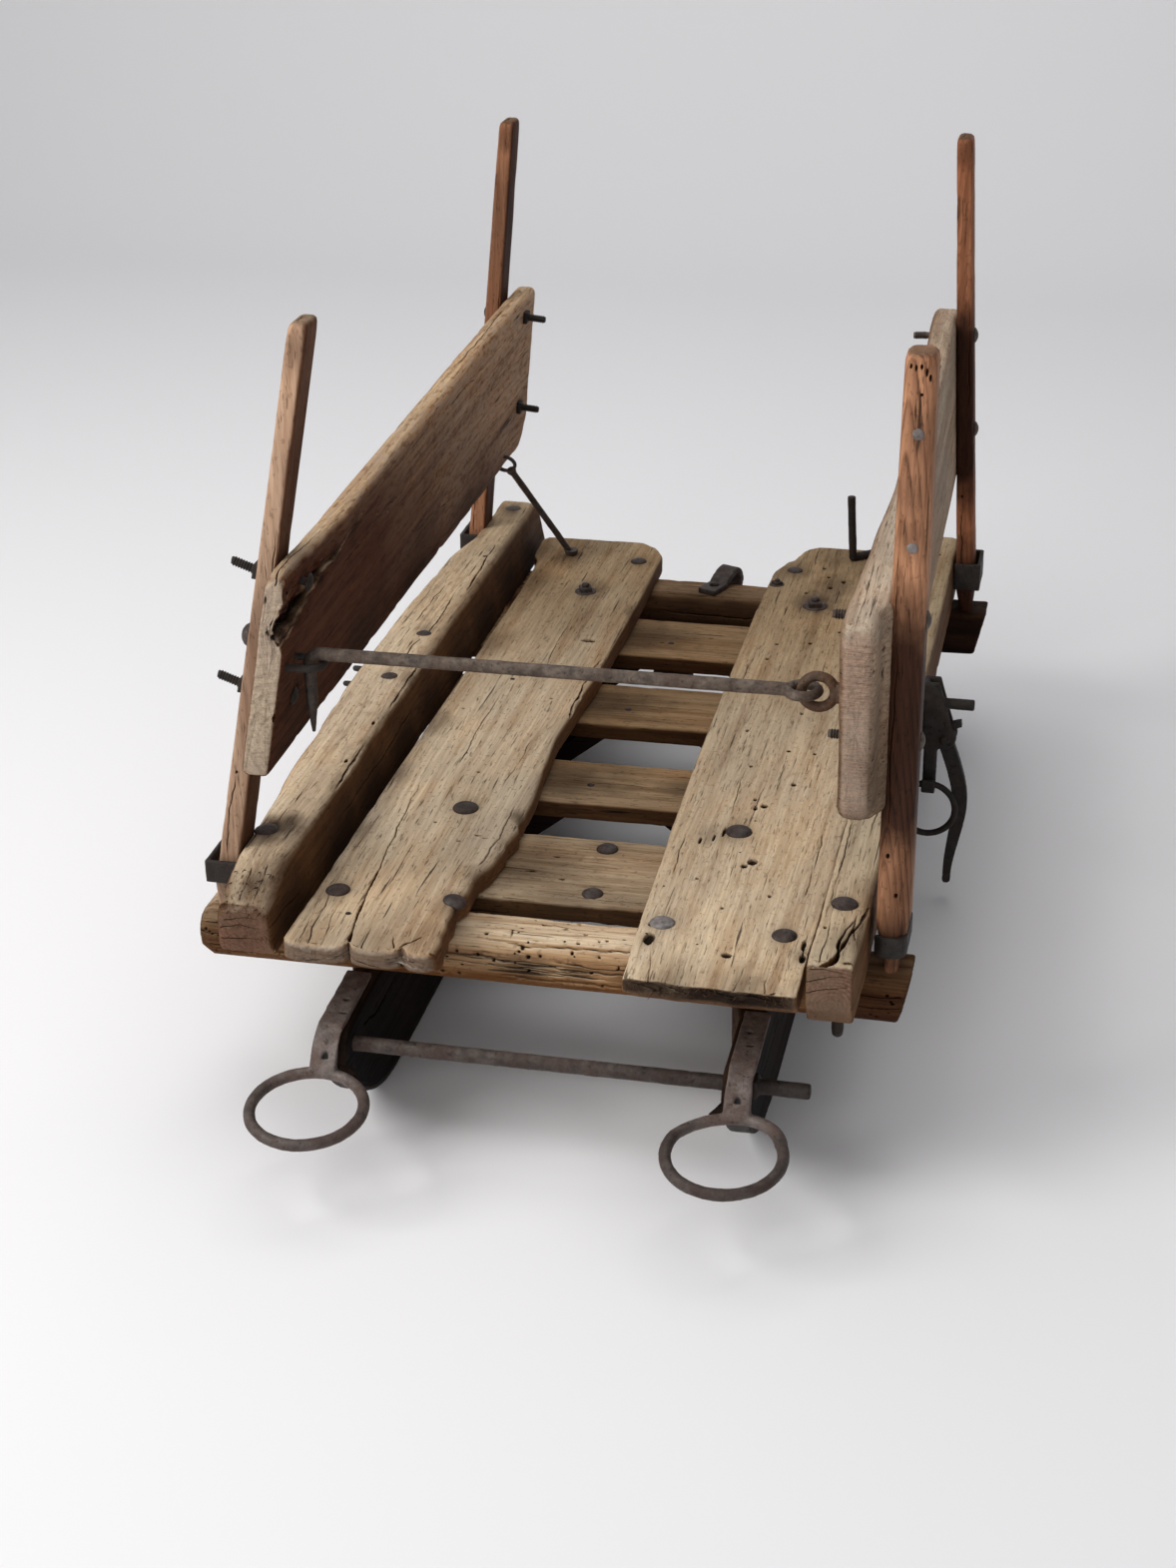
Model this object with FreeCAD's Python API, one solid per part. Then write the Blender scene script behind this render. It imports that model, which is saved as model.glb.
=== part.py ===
import FreeCAD, Part
import math
import os

V = FreeCAD.Vector

# Clearances
SEAT_GAP = 0.3
HOLE_GAP = 0.4
RING_GAP = 1.3

# Runners: planks on edge with a swept nose
RUNNER_TRACK = 336.0
RUNNER_THICK = 36.0
RUNNER_HEIGHT = 148.0
RUNNER_REAR = 462.0
SOLE_FRONT = -368.0
NOSE_RADIUS = 182.0
NOSE_ANGLE = 58.0
NOSE_BLUNT = 3.7
NOSE_DEPTH = 23.4
NOSE_FLAT = 18.0
HEEL_RISE = 34.0
HEEL_RUN = 30.0
SHOE_THICK = 5.0
SHOE_WIDTH = 32.0
SHOE_ANGLE = 49.0

# Beams across the runners
BEAM_SPACING = 807.0
BEAM_DEPTH = 47.0
BEAM_HEIGHT = 48.0
BEAM_LEFT = -311.0
BEAM_RIGHT = 305.0
BEAM_NOSE = 12.0
BEAM_END_SLANT = 11.0
BEAM_END_WEAR = 10.0

# Benches, the thin slats between the beams
BENCH_THICK = 18.0
BENCH_HALF = 258.0
BENCHES = {
    "bench_front": (-353.0, -226.0),
    "bench_second": (-158.0, -67.0),
    "bench_third": (23.0, 122.0),
    "bench_rear": (202.0, 304.0),
}
BLOCK_LEFT = -32.0
BLOCK_WIDTH = 38.0
BLOCK_DEPTH = 30.0
BLOCK_THICK = 14.0
EDGE_ROUND = 2.5

# Knee braces under the benches
BRACE_THICK = 22.0
BRACE_WIDTH = 32.0
BRACE_WIDTH_REAR = 14.0
BRACE_REACH = RUNNER_TRACK * 0.31
BRACE_DROP = 82.0
BRACE_INSET = 6.0

# Deck boards
DECK_THICK = 24.0
DECK_FRONT = -504.0
DECK_REAR = 478.0
DECK_LEFT_OUTER = -207.0
DECK_LEFT_INNER = -76.0
DECK_LEFT_BULGE = 11.0
DECK_RIGHT_INNER = 78.0
DECK_RIGHT_OUTER = 224.0
DECK_RIGHT_BULGE = 15.0
DECK_REAR_ROUND = 26.0
DECK_FRONT_BEVEL = 16.0
DECK_FRONT_FACE = 12.0
DECK_LEFT_FACE = 18.0
DECK_LEFT_CORNER = 16.0

# Rails on the deck's outer sides
RAIL_HEIGHT = 58.0
RAIL_LEFT_FRONT = -497.0
RAIL_LEFT_END = 506.0
RAIL_LEFT_HEIGHT = 62.0
RAIL_LEFT_INNER = -221.0
RAIL_LEFT_INNER_REAR = -229.0
RAIL_LEFT_SEAT = -217.0
RAIL_LEFT_OUTER = -266.0
RAIL_LEFT_REAR = -268.0
RAIL_LEFT_BULGE = 20.0
RAIL_RIGHT_FRONT = -516.0
RAIL_RIGHT_END = 468.0
RAIL_RIGHT_INNER = 228.0
RAIL_RIGHT_OUTER = 268.0
RAIL_SLOPE_RUN = 62.0
RAIL_SLOPE_DROP = 22.0
RAIL_REAR_ROUND = 24.0
RAIL_UNDERCUT = 12.0
RAIL_UNDERCUT_RISE = 24.0
RAIL_ROUND = 5.0

# Stakes: each leans along a straight line from foot to top
STAKE_DEPTH = 38.0
STAKE_TOP_DEPTH = 32.0
STAKE_THICK = 19.0
STAKE_TOP_THICK = 16.0
STAKE_THICK_SPARE = 27.0
STAKE_TOP_THICK_SPARE = 25.0
FRONT_LEFT_HIGH = 686.0
REAR_LEFT_HIGH = 682.0
FRONT_RIGHT_HIGH = 685.0
REAR_RIGHT_HIGH = 680.0
STAKE_TOP_ROUND = 4.0
CROWN_STEPS = ((1.0, 0.0), (0.3, 0.3), (0.0, 1.0))
TENON_LENGTH = 22.0
TENON_DEPTH = 24.0
TENON_THICK = 11.0
FOOT_LENGTH = 26.0
FOOT_LENGTH_SPARE = 78.0
FRONT_LEFT_FOOT = -288.5
FRONT_LEFT_TOP = -189.0
REAR_LEFT_FOOT = -277.5
REAR_LEFT_TOP = -226.0
FRONT_RIGHT_FOOT = 286.0
FRONT_RIGHT_TOP = 288.0
REAR_RIGHT_FOOT = 281.5
REAR_RIGHT_TOP = 254.0

# Staples that hold the stakes to the rails
STAPLE_THICK = 4.0
STAPLE_ROOM = 2.5
# Lower and upper edge of each staple above the rail's underside
STAPLE_RISES = {
    "stake_front_left": (30.0, 51.0),
    "stake_rear_left": (37.0, 56.0),
    "stake_front_right": (15.0, 34.0),
    "stake_rear_right": (29.0, 59.0),
}

# Side boards bolted inside the stakes
SIDE_FRONT = -452.0
SIDE_RIGHT_FRONT = -478.0
SIDE_REAR = 452.0
TONGUE_RISE = 18.0
TONGUE_RUN = 40.0
SIDE_LEFT_THICK = 23.0
SIDE_RIGHT_THICK = 33.0
SIDE_LOW = 312.0
SIDE_HIGH = 492.0
SIDE_CORNER = 34.0
BREAK_WIDE = 19.0
BREAK_DEEP = 70.0
BREAK_END = -310.0

# Bolts of the side boards
BOLT_RADIUS = 3.4
BOLT_HEAD_RADIUS = 8.5
BOLT_HEAD_HEIGHT = 4.0
BOLT_NUT = 13.0
BOLT_NUT_HEIGHT = 5.0
BOLT_REACH = 24.0
BOLT_HIGH_DROP = 20.0
BOLT_LOW_RISE = 58.0

# Draft straps with their rings
STRAP_THICK = 5.0
STRAP_WIDTH = 22.0
STRAP_LEFT_X = -166.0
STRAP_RIGHT_X = 173.0
RING_OFFSET = 4.0
RING_RADIUS = 46.5
RING_BAR = 5.0
RING_AHEAD = 55.0
RING_BELOW = 32.5
RING_TILT = 6.0

# Rod through the noses
NOSE_ROD_RADIUS = 6.5
NOSE_ROD_SET = 27.0
NOSE_ROD_BELOW = 18.0
NOSE_ROD_LEFT = -176.0
NOSE_ROD_RIGHT = 234.0

# Tie rod across the front, with its eye bolt and its hook
TIE_RADIUS = 5.5
TIE_Y = -425.0
TIE_HIGH = 415.0
TIE_EYE_X = 221.0
TIE_LOOP_RADIUS = 12.0
TIE_LOOP_BAR = 4.2
TIE_LOOP_SHIFT = 1.0
EYE_RADIUS = 13.0
EYE_BAR = 4.2
EYE_COLLAR = 4.0
SPIKE_INSET = 15.0
SPIKE_LENGTH = 60.0
SPIKE_POINT = 1.5
SPIKE_ROOM = 3.5
STAPLE_BAR = 3.2
STAPLE_DEPTH = 14.0

# Stay at the rear left
STAY_RADIUS = 4.5
STAY_EYE_RADIUS = 9.0
STAY_TOP_Y = 345.0
STAY_TOP_Z = 320.0
STAY_FOOT_X = -171.5
STAY_FOOT_Y = 418.0

# Corner hook at the rear right
CORNER_BAR = 4.5
CORNER_X = 148.0
CORNER_Y = 460.0
CORNER_RUN = 24.0
CORNER_SET = 20.0
CORNER_RISE = 72.0

# Hitch hook on the rear beam
HITCH_THICK = 6.0
HITCH_WIDTH = 22.0
HITCH_X = -1.0
HITCH_INSET = 6.0
HITCH_OVERHANG = 22.0
HITCH_HUMP = 12.0
HITCH_DROP = 8.0
HITCH_HOLE = 5.5
HITCH_SKEW = 22.0

# Hanger, ring and lever on the right rail
HANGER_Y = 26.0
HANGER_THICK = 5.0
HANGER_TOP = 236.0
HANGER_EAR = 11.0
HANGER_TAIL = 13.0
HANGER_TAIL_SET = 3.0
HANGER_SEAT = 132.0
HANGER_LIP = 7.0
HANG_RING_RADIUS = 27.0
HANG_RING_BAR = 3.2
LEVER_THICK = 9.0
LEVER_PLAY = 1.0
LEVER_PIN_X = 291.0
LEVER_PIN_Z = 178.0
LEVER_PIN_RADIUS = 4.0
LEVER_LENGTH = 160.0
LEVER_BOW = 25.0
LEVER_CURL = 18.0
LEVER_WIDE = 16.0
SIDE_STUB_RADIUS = 5.5
SIDE_STUB_REACH = 44.0
SIDE_STUB_Z = 212.0

# Heights and lines that follow
NOSE_TURN = math.radians(NOSE_ANGLE)
NOSE_TIP = SOLE_FRONT - NOSE_RADIUS * math.sin(NOSE_TURN) - NOSE_BLUNT
NOSE_CREST = NOSE_TIP + NOSE_FLAT
NOSE_TOP = SHOE_THICK + NOSE_RADIUS * (1 - math.cos(NOSE_TURN)) + NOSE_DEPTH
RING_CENTRE_Y = NOSE_TIP - RING_AHEAD
RING_CENTRE_Z = NOSE_TOP - RING_BELOW
NOSE_ROD_Y = NOSE_TIP + NOSE_ROD_SET
NOSE_ROD_Z = NOSE_TOP - NOSE_ROD_BELOW
DECK_Z = RUNNER_HEIGHT + BENCH_THICK
DECK_TOP = DECK_Z + DECK_THICK
RAIL_TOP = DECK_Z + RAIL_HEIGHT
RAIL_LEFT_TOP = DECK_Z + RAIL_LEFT_HEIGHT
BEAM_LOW = DECK_Z - BEAM_HEIGHT
BEAM_HALF = BEAM_DEPTH / 2
FRONT_BEAM_Y = -BEAM_SPACING / 2
REAR_BEAM_Y = BEAM_SPACING / 2
STAKE_FOOT = DECK_Z - TENON_LENGTH

STAKES = {
    "stake_front_left": (FRONT_LEFT_FOOT, FRONT_LEFT_TOP, FRONT_BEAM_Y, STAKE_THICK, STAKE_TOP_THICK,
                         FRONT_LEFT_HIGH),
    "stake_rear_left": (REAR_LEFT_FOOT, REAR_LEFT_TOP, REAR_BEAM_Y, STAKE_THICK, STAKE_TOP_THICK,
                        REAR_LEFT_HIGH),
    "stake_front_right": (FRONT_RIGHT_FOOT, FRONT_RIGHT_TOP, FRONT_BEAM_Y, STAKE_THICK_SPARE,
                          STAKE_TOP_THICK_SPARE, FRONT_RIGHT_HIGH),
    "stake_rear_right": (REAR_RIGHT_FOOT, REAR_RIGHT_TOP, REAR_BEAM_Y, STAKE_THICK, STAKE_TOP_THICK,
                         REAR_RIGHT_HIGH),
}


SIDES = {
    -1: ("stake_front_left", "stake_rear_left", SIDE_LEFT_THICK, SIDE_FRONT),
    1: ("stake_front_right", "stake_rear_right", SIDE_RIGHT_THICK, SIDE_RIGHT_FRONT),
}


def in_side(x):
    """Place a pair (y, z) on the plane at x."""
    return lambda p: V(x, p[0], p[1])


def in_plan(z):
    """Place a pair (x, y) on the plane at z."""
    return lambda p: V(p[0], p[1], z)


def in_front(y):
    """Place a pair (x, z) on the plane at y."""
    return lambda p: V(p[0], y, p[1])


def outline(start, steps, place):
    """Closed wire: a pair is a straight run, two pairs an arc, a list a smooth curve."""
    edges = []
    here = start
    for step in steps + [start]:
        if isinstance(step, list):
            curve = Part.BSplineCurve()
            curve.interpolate([place(p) for p in [here] + step])
            edges.append(curve.toShape())
            here = step[-1]
        elif isinstance(step[0], tuple):
            edges.append(Part.Arc(place(here), place(step[0]), place(step[1])).toShape())
            here = step[1]
        elif step != here:
            edges.append(Part.makeLine(place(here), place(step)))
            here = step
    return Part.Wire(edges)


def slab(wire, along):
    return Part.Face(wire).extrude(along)


def block(x0, x1, y0, y1, z0, z1):
    return Part.makeBox(x1 - x0, y1 - y0, z1 - z0, V(x0, y0, z0))


def rod(a, b, radius):
    return Part.makeCylinder(radius, (b - a).Length, a, b - a)


def ring(centre, normal, radius, bar):
    return Part.makeTorus(radius, bar, centre, normal)


def round_long_edges(shape, radius, axis):
    """Round the straight edges that run along one axis."""
    picked = []
    for edge in shape.Edges:
        if edge.Curve.TypeId == "Part::GeomLine":
            run = edge.Vertexes[-1].Point - edge.Vertexes[0].Point
            if abs(run.normalize().dot(axis)) > 0.999:
                picked.append(edge)
    return shape.makeFillet(radius, picked)


def on_arc(angle, radius):
    """A point of the sole's curve, measured back from the floor tangent."""
    turn = math.radians(angle)
    rise = SHOE_THICK + NOSE_RADIUS
    return (SOLE_FRONT - radius * math.sin(turn), rise - radius * math.cos(turn))


def stake_x(name, z):
    """Centre of a stake at a height."""
    foot, top = STAKES[name][0:2]
    return foot + (top - foot) * (z - DECK_Z) / (STAKES[name][5] - DECK_Z)


def stake_half(name, z):
    """Half the thickness of a stake at a height."""
    low, high = STAKES[name][3:5]
    share = (z - DECK_Z) / (STAKES[name][5] - DECK_Z)
    return (low + (high - low) * share) / 2


def stake_inner(name, z):
    """Inner face of a stake at a height."""
    side = -1 if STAKES[name][0] < 0 else 1
    return stake_x(name, z) - side * stake_half(name, z)


def stake_outer(name, z):
    """Outer face of a stake at a height."""
    side = -1 if STAKES[name][0] < 0 else 1
    return stake_x(name, z) + side * stake_half(name, z)


def make_runner(side):
    centre = side * RUNNER_TRACK / 2
    under = on_arc(NOSE_ANGLE, NOSE_RADIUS)
    middle = on_arc(NOSE_ANGLE / 2, NOSE_RADIUS)
    heel = (RUNNER_REAR, SHOE_THICK + HEEL_RISE)
    steps = [
        (REAR_BEAM_Y + BEAM_HALF, RUNNER_HEIGHT),
        (REAR_BEAM_Y + BEAM_HALF, BEAM_LOW),
        (REAR_BEAM_Y - BEAM_HALF, BEAM_LOW),
        (REAR_BEAM_Y - BEAM_HALF, RUNNER_HEIGHT),
        (FRONT_BEAM_Y + BEAM_HALF, RUNNER_HEIGHT),
        (FRONT_BEAM_Y + BEAM_HALF, BEAM_LOW),
        (FRONT_BEAM_Y - BEAM_HALF, BEAM_LOW),
        (NOSE_CREST, NOSE_TOP),
        ((NOSE_TIP, (NOSE_TOP + under[1]) / 2), under),
        (middle, (SOLE_FRONT, SHOE_THICK)),
        (RUNNER_REAR - HEEL_RUN, SHOE_THICK),
        ((RUNNER_REAR - HEEL_RUN / 4, SHOE_THICK + HEEL_RISE / 4), heel),
    ]
    wire = outline((RUNNER_REAR, RUNNER_HEIGHT), steps, in_side(centre - RUNNER_THICK / 2))
    runner = slab(wire, V(RUNNER_THICK, 0, 0))
    hole = Part.makeCylinder(NOSE_ROD_RADIUS + HOLE_GAP, RUNNER_THICK * 2,
                             V(centre - RUNNER_THICK, NOSE_ROD_Y, NOSE_ROD_Z), V(1, 0, 0))
    return runner.cut(hole)


def make_shoe(side):
    centre = side * RUNNER_TRACK / 2
    outer = NOSE_RADIUS + SHOE_THICK
    steps = [
        (on_arc(SHOE_ANGLE / 2, NOSE_RADIUS), on_arc(SHOE_ANGLE, NOSE_RADIUS)),
        on_arc(SHOE_ANGLE, outer),
        (on_arc(SHOE_ANGLE / 2, outer), (SOLE_FRONT, 0)),
        (RUNNER_REAR - HEEL_RUN, 0),
        (RUNNER_REAR - HEEL_RUN, SHOE_THICK),
    ]
    wire = outline((SOLE_FRONT, SHOE_THICK), steps, in_side(centre - SHOE_WIDTH / 2))
    return slab(wire, V(SHOE_WIDTH, 0, 0))


def stake_section(name, z, thick, depth):
    """Level cross-section of a stake at a height."""
    x = stake_x(name, z)
    y = STAKES[name][2]
    a = thick / 2
    b = depth / 2
    corners = [(-a, -b), (a, -b), (a, b), (-a, b), (-a, -b)]
    return Part.makePolygon([V(x + c, y + d, z) for c, d in corners])


def mortise(name):
    """The hole in a beam for a stake's tongue, with room all round."""
    wide = TENON_THICK + 2 * HOLE_GAP
    deep = TENON_DEPTH + 2 * HOLE_GAP
    low = stake_section(name, STAKE_FOOT - HOLE_GAP, wide, deep)
    high = stake_section(name, DECK_Z + HOLE_GAP, wide, deep)
    return Part.makeLoft([low, high], True, True)


def stake_room(name):
    """The stake's lower run grown by the seat gap, to let it into the rail."""
    wide = STAKES[name][3] + 2 * SEAT_GAP
    deep = STAKE_DEPTH + 2 * SEAT_GAP
    low = stake_section(name, DECK_Z - 1, wide, deep)
    high = stake_section(name, RAIL_LEFT_TOP + 1, wide, deep)
    return Part.makeLoft([low, high], True, True)


def foot_length(name):
    return FOOT_LENGTH_SPARE if STAKES[name][3] > STAKE_THICK else FOOT_LENGTH


def foot_outer(name, z):
    """Outer face of a stake low down, where it narrows to its tongue."""
    side = -1 if STAKES[name][0] < 0 else 1
    share = min((z - DECK_Z) / foot_length(name), 1)
    thick = TENON_THICK + (STAKES[name][3] - TENON_THICK) * share
    return stake_x(name, z) + side * thick / 2


def make_stake(name):
    """Tongue, a foot that widens, a tapering shaft and a worn crown."""
    low_thick, top_thick, high_z = STAKES[name][3:6]
    sections = [
        stake_section(name, STAKE_FOOT, TENON_THICK, TENON_DEPTH),
        stake_section(name, DECK_Z, TENON_THICK, TENON_DEPTH),
        stake_section(name, DECK_Z + foot_length(name), low_thick, STAKE_DEPTH),
    ]
    for drop, inset in CROWN_STEPS:
        thick = top_thick - 2 * inset * STAKE_TOP_ROUND
        depth = STAKE_TOP_DEPTH - 2 * inset * STAKE_TOP_ROUND
        sections.append(stake_section(name, high_z - drop * STAKE_TOP_ROUND, thick, depth))
    return Part.makeLoft(sections, True, True)


def make_beam(y, rounded_front):
    back = y + BEAM_HALF
    front = y - BEAM_HALF
    if rounded_front:
        steps = [
            (back, BEAM_LOW),
            (front + BEAM_NOSE, BEAM_LOW),
            ((front, (BEAM_LOW + DECK_Z) / 2), (front + BEAM_NOSE, DECK_Z)),
        ]
    else:
        steps = [(back, BEAM_LOW), (front, BEAM_LOW), (front, DECK_Z)]
    wire = outline((back, DECK_Z), steps, in_side(BEAM_LEFT))
    beam = slab(wire, V(BEAM_RIGHT - BEAM_LEFT, 0, 0))
    middle = (BEAM_LOW + DECK_Z) / 2
    over = BEAM_HEIGHT
    slant = outline((BEAM_RIGHT, DECK_Z + 1), [(BEAM_RIGHT + over, DECK_Z + 1), (BEAM_RIGHT + over, BEAM_LOW - 1),
                    (BEAM_RIGHT - BEAM_END_SLANT, BEAM_LOW - 1)], in_front(front - 1))
    upper = outline((BEAM_LEFT, middle), [(BEAM_LEFT + BEAM_END_WEAR, DECK_Z + 1), (BEAM_LEFT - over, DECK_Z + 1)],
                    in_front(front - 1))
    lower = outline((BEAM_LEFT, middle), [(BEAM_LEFT - over, BEAM_LOW - 1), (BEAM_LEFT + BEAM_END_WEAR / 2, BEAM_LOW - 1)],
                    in_front(front - 1))
    for wire in (slant, upper, lower):
        beam = beam.cut(slab(wire, V(0, BEAM_DEPTH + 2, 0)))
    return beam


def make_front_beam():
    beam = make_beam(FRONT_BEAM_Y, True)
    return beam.cut([mortise("stake_front_left"), mortise("stake_front_right")])


def make_rear_beam():
    beam = make_beam(REAR_BEAM_Y, False)
    return beam.cut([mortise("stake_rear_left"), mortise("stake_rear_right")])


def make_bench(name):
    front, rear = BENCHES[name]
    slat = block(-BENCH_HALF, BENCH_HALF, front, rear, RUNNER_HEIGHT, DECK_Z)
    return round_long_edges(slat, EDGE_ROUND, V(1, 0, 0))


def make_centre_block():
    front = BENCHES["bench_rear"][0]
    return block(BLOCK_LEFT, BLOCK_LEFT + BLOCK_WIDTH, front, front + BLOCK_DEPTH,
                 RUNNER_HEIGHT - BLOCK_THICK, RUNNER_HEIGHT)


def make_brace(side, y, width):
    """A strut from a bench's underside down to a runner's inner face."""
    wall = side * (RUNNER_TRACK - RUNNER_THICK) / 2
    top = RUNNER_HEIGHT
    steps = [
        (wall - side * BRACE_REACH, top),
        (wall, top - BRACE_DROP),
        (wall, top - BRACE_DROP + BRACE_THICK),
    ]
    wire = outline((wall - side * (BRACE_REACH - BRACE_THICK * BRACE_REACH / BRACE_DROP), top), steps, in_front(y))
    return slab(wire, V(0, width, 0))


def make_braces(side):
    solids = []
    for name, width in (("bench_second", BRACE_WIDTH), ("bench_third", BRACE_WIDTH), ("bench_rear", BRACE_WIDTH_REAR)):
        solids.append(make_brace(side, BENCHES[name][0] + BRACE_INSET, width))
    return Part.makeCompound(solids)


def make_deck_left():
    z = DECK_Z
    steps = [
        [(DECK_LEFT_OUTER + 40, DECK_FRONT - 4), (DECK_LEFT_OUTER + 58, DECK_FRONT + 2)],
        [(DECK_LEFT_OUTER + 80, DECK_FRONT - 5), (DECK_LEFT_OUTER + 98, DECK_FRONT + 1)],
        [(DECK_LEFT_INNER - 20, DECK_FRONT - 5), (DECK_LEFT_INNER, DECK_FRONT + 8)],
        [(DECK_LEFT_INNER + DECK_LEFT_BULGE * 0.6, DECK_FRONT * 0.5), (DECK_LEFT_INNER + DECK_LEFT_BULGE, DECK_REAR * 0.4),
         (DECK_LEFT_INNER + DECK_LEFT_BULGE, DECK_REAR - DECK_REAR_ROUND * 1.5)],
        ((DECK_LEFT_INNER + DECK_LEFT_BULGE * 0.2, DECK_REAR - DECK_REAR_ROUND * 0.3),
         (DECK_LEFT_INNER - DECK_REAR_ROUND, DECK_REAR)),
        (DECK_LEFT_OUTER + DECK_LEFT_CORNER, DECK_REAR),
        (DECK_LEFT_OUTER, DECK_REAR - DECK_LEFT_CORNER * 1.4),
    ]
    wire = outline((DECK_LEFT_OUTER, DECK_FRONT + 4), steps, in_plan(z))
    board = slab(wire, V(0, 0, DECK_THICK))
    return board.cut(undercut(DECK_FRONT - 6, DECK_FRONT_BEVEL / 2, DECK_THICK - DECK_LEFT_FACE, DECK_LEFT_OUTER, DECK_LEFT_INNER))


def undercut(front, run, rise, x0, x1):
    """Wedge that bevels the underside of a piece's front end."""
    wire = outline((front - 1, DECK_Z - 1), [(front + run, DECK_Z - 1), (front + run, DECK_Z), (front - 1, DECK_Z + rise)],
                   in_side(x0 - 1))
    return slab(wire, V(x1 - x0 + 2, 0, 0))


def make_deck_right():
    z = DECK_Z
    steps = [
        (DECK_RIGHT_OUTER, DECK_FRONT - 9),
        (DECK_RIGHT_OUTER, DECK_REAR + 20),
        (DECK_RIGHT_INNER + DECK_REAR_ROUND, DECK_REAR + 12),
        (DECK_RIGHT_INNER + DECK_REAR_ROUND * 0.3, DECK_REAR),
        (DECK_RIGHT_INNER - DECK_RIGHT_BULGE * 0.8, DECK_REAR - DECK_REAR_ROUND * 1.8),
        [(DECK_RIGHT_INNER - DECK_RIGHT_BULGE, DECK_REAR * 0.5), (DECK_RIGHT_INNER - DECK_RIGHT_BULGE * 0.8, -60.0),
         (DECK_RIGHT_INNER, DECK_FRONT)],
    ]
    wire = outline((DECK_RIGHT_INNER, DECK_FRONT), steps, in_plan(z))
    board = slab(wire, V(0, 0, DECK_THICK))
    return board.cut(undercut(DECK_FRONT - 9, DECK_FRONT_BEVEL, DECK_THICK - DECK_FRONT_FACE,
                              DECK_RIGHT_INNER - DECK_RIGHT_BULGE, DECK_RIGHT_OUTER))


def rail_lean():
    """What the left rail's inner face loses as it leans away from the deck, more at the rear."""
    wires = []
    for y, inner in ((RAIL_LEFT_FRONT - 1, RAIL_LEFT_INNER), (RAIL_LEFT_END + 1, RAIL_LEFT_INNER_REAR)):
        top = RAIL_LEFT_TOP + 1
        wires.append(outline((RAIL_LEFT_SEAT, DECK_Z), [(inner, top), (RAIL_LEFT_SEAT + 1, top)], in_front(y)))
    return Part.makeLoft(wires, True, True)


def make_rail_left():
    steps = [
        (RAIL_LEFT_SEAT, RAIL_LEFT_FRONT),
        (RAIL_LEFT_SEAT, RAIL_LEFT_END),
        (RAIL_LEFT_REAR, RAIL_LEFT_END),
        (RAIL_LEFT_REAR, REAR_BEAM_Y - STAKE_DEPTH),
        [(RAIL_LEFT_OUTER - RAIL_LEFT_BULGE, 0.0), (RAIL_LEFT_OUTER, FRONT_BEAM_Y + STAKE_DEPTH)],
    ]
    wire = outline((RAIL_LEFT_OUTER, RAIL_LEFT_FRONT), steps, in_plan(DECK_Z))
    rail = slab(wire, V(0, 0, RAIL_LEFT_HEIGHT))
    front = RAIL_LEFT_FRONT - 1
    rear = RAIL_LEFT_END + 1
    top = RAIL_LEFT_TOP + 1
    edge = RAIL_LEFT_OUTER - RAIL_LEFT_BULGE - 1
    slope = outline((front, top), [(front, top - RAIL_SLOPE_DROP),
                    ((front + RAIL_SLOPE_RUN * 0.35, top - RAIL_SLOPE_DROP * 0.4), (front + RAIL_SLOPE_RUN, top))],
                    in_side(edge))
    round_rear = outline((rear, top), [(rear, top - RAIL_REAR_ROUND),
                         ((rear - RAIL_REAR_ROUND * 0.3, top - RAIL_REAR_ROUND * 0.3), (rear - RAIL_REAR_ROUND, top))],
                         in_side(edge))
    width = V(RAIL_LEFT_SEAT - edge + 1, 0, 0)
    under = undercut(RAIL_LEFT_FRONT, RAIL_UNDERCUT / 2, RAIL_UNDERCUT_RISE, edge, RAIL_LEFT_SEAT)
    return rail.cut([rail_lean(), slab(slope, width), slab(round_rear, width), under, stake_room("stake_front_left"),
                     stake_room("stake_rear_left")])


def make_rail_right():
    rail = block(RAIL_RIGHT_INNER, RAIL_RIGHT_OUTER, RAIL_RIGHT_FRONT, RAIL_RIGHT_END, DECK_Z, RAIL_TOP)
    rail = round_long_edges(rail, RAIL_ROUND, V(0, 1, 0))
    under = undercut(RAIL_RIGHT_FRONT, RAIL_UNDERCUT, RAIL_UNDERCUT_RISE, RAIL_RIGHT_INNER, RAIL_RIGHT_OUTER)
    return rail.cut([under, stake_room("stake_front_right"), stake_room("stake_rear_right")])


def make_staple(name, rail_face):
    """An iron strap that loops round a stake and runs into the rail."""
    side = -1 if rail_face < 0 else 1
    y = STAKES[name][2]
    low, high = (DECK_Z + rise for rise in STAPLE_RISES[name])
    far = max(side * foot_outer(name, low), side * foot_outer(name, high)) * side + side * STAPLE_ROOM
    half = STAKE_DEPTH / 2 + STAPLE_ROOM
    x0, x1 = sorted((rail_face, far))
    room = block(x0, x1, y - half, y + half, low - 1, high + 1)
    o0, o1 = sorted((rail_face, far + side * STAPLE_THICK))
    body = block(o0, o1, y - half - STAPLE_THICK, y + half + STAPLE_THICK, low, high)
    return body.cut(room)


def make_staples():
    return Part.makeCompound([
        make_staple("stake_front_left", RAIL_LEFT_OUTER),
        make_staple("stake_rear_left", RAIL_LEFT_REAR),
        make_staple("stake_front_right", RAIL_RIGHT_OUTER),
        make_staple("stake_rear_right", RAIL_RIGHT_OUTER),
    ])


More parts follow.
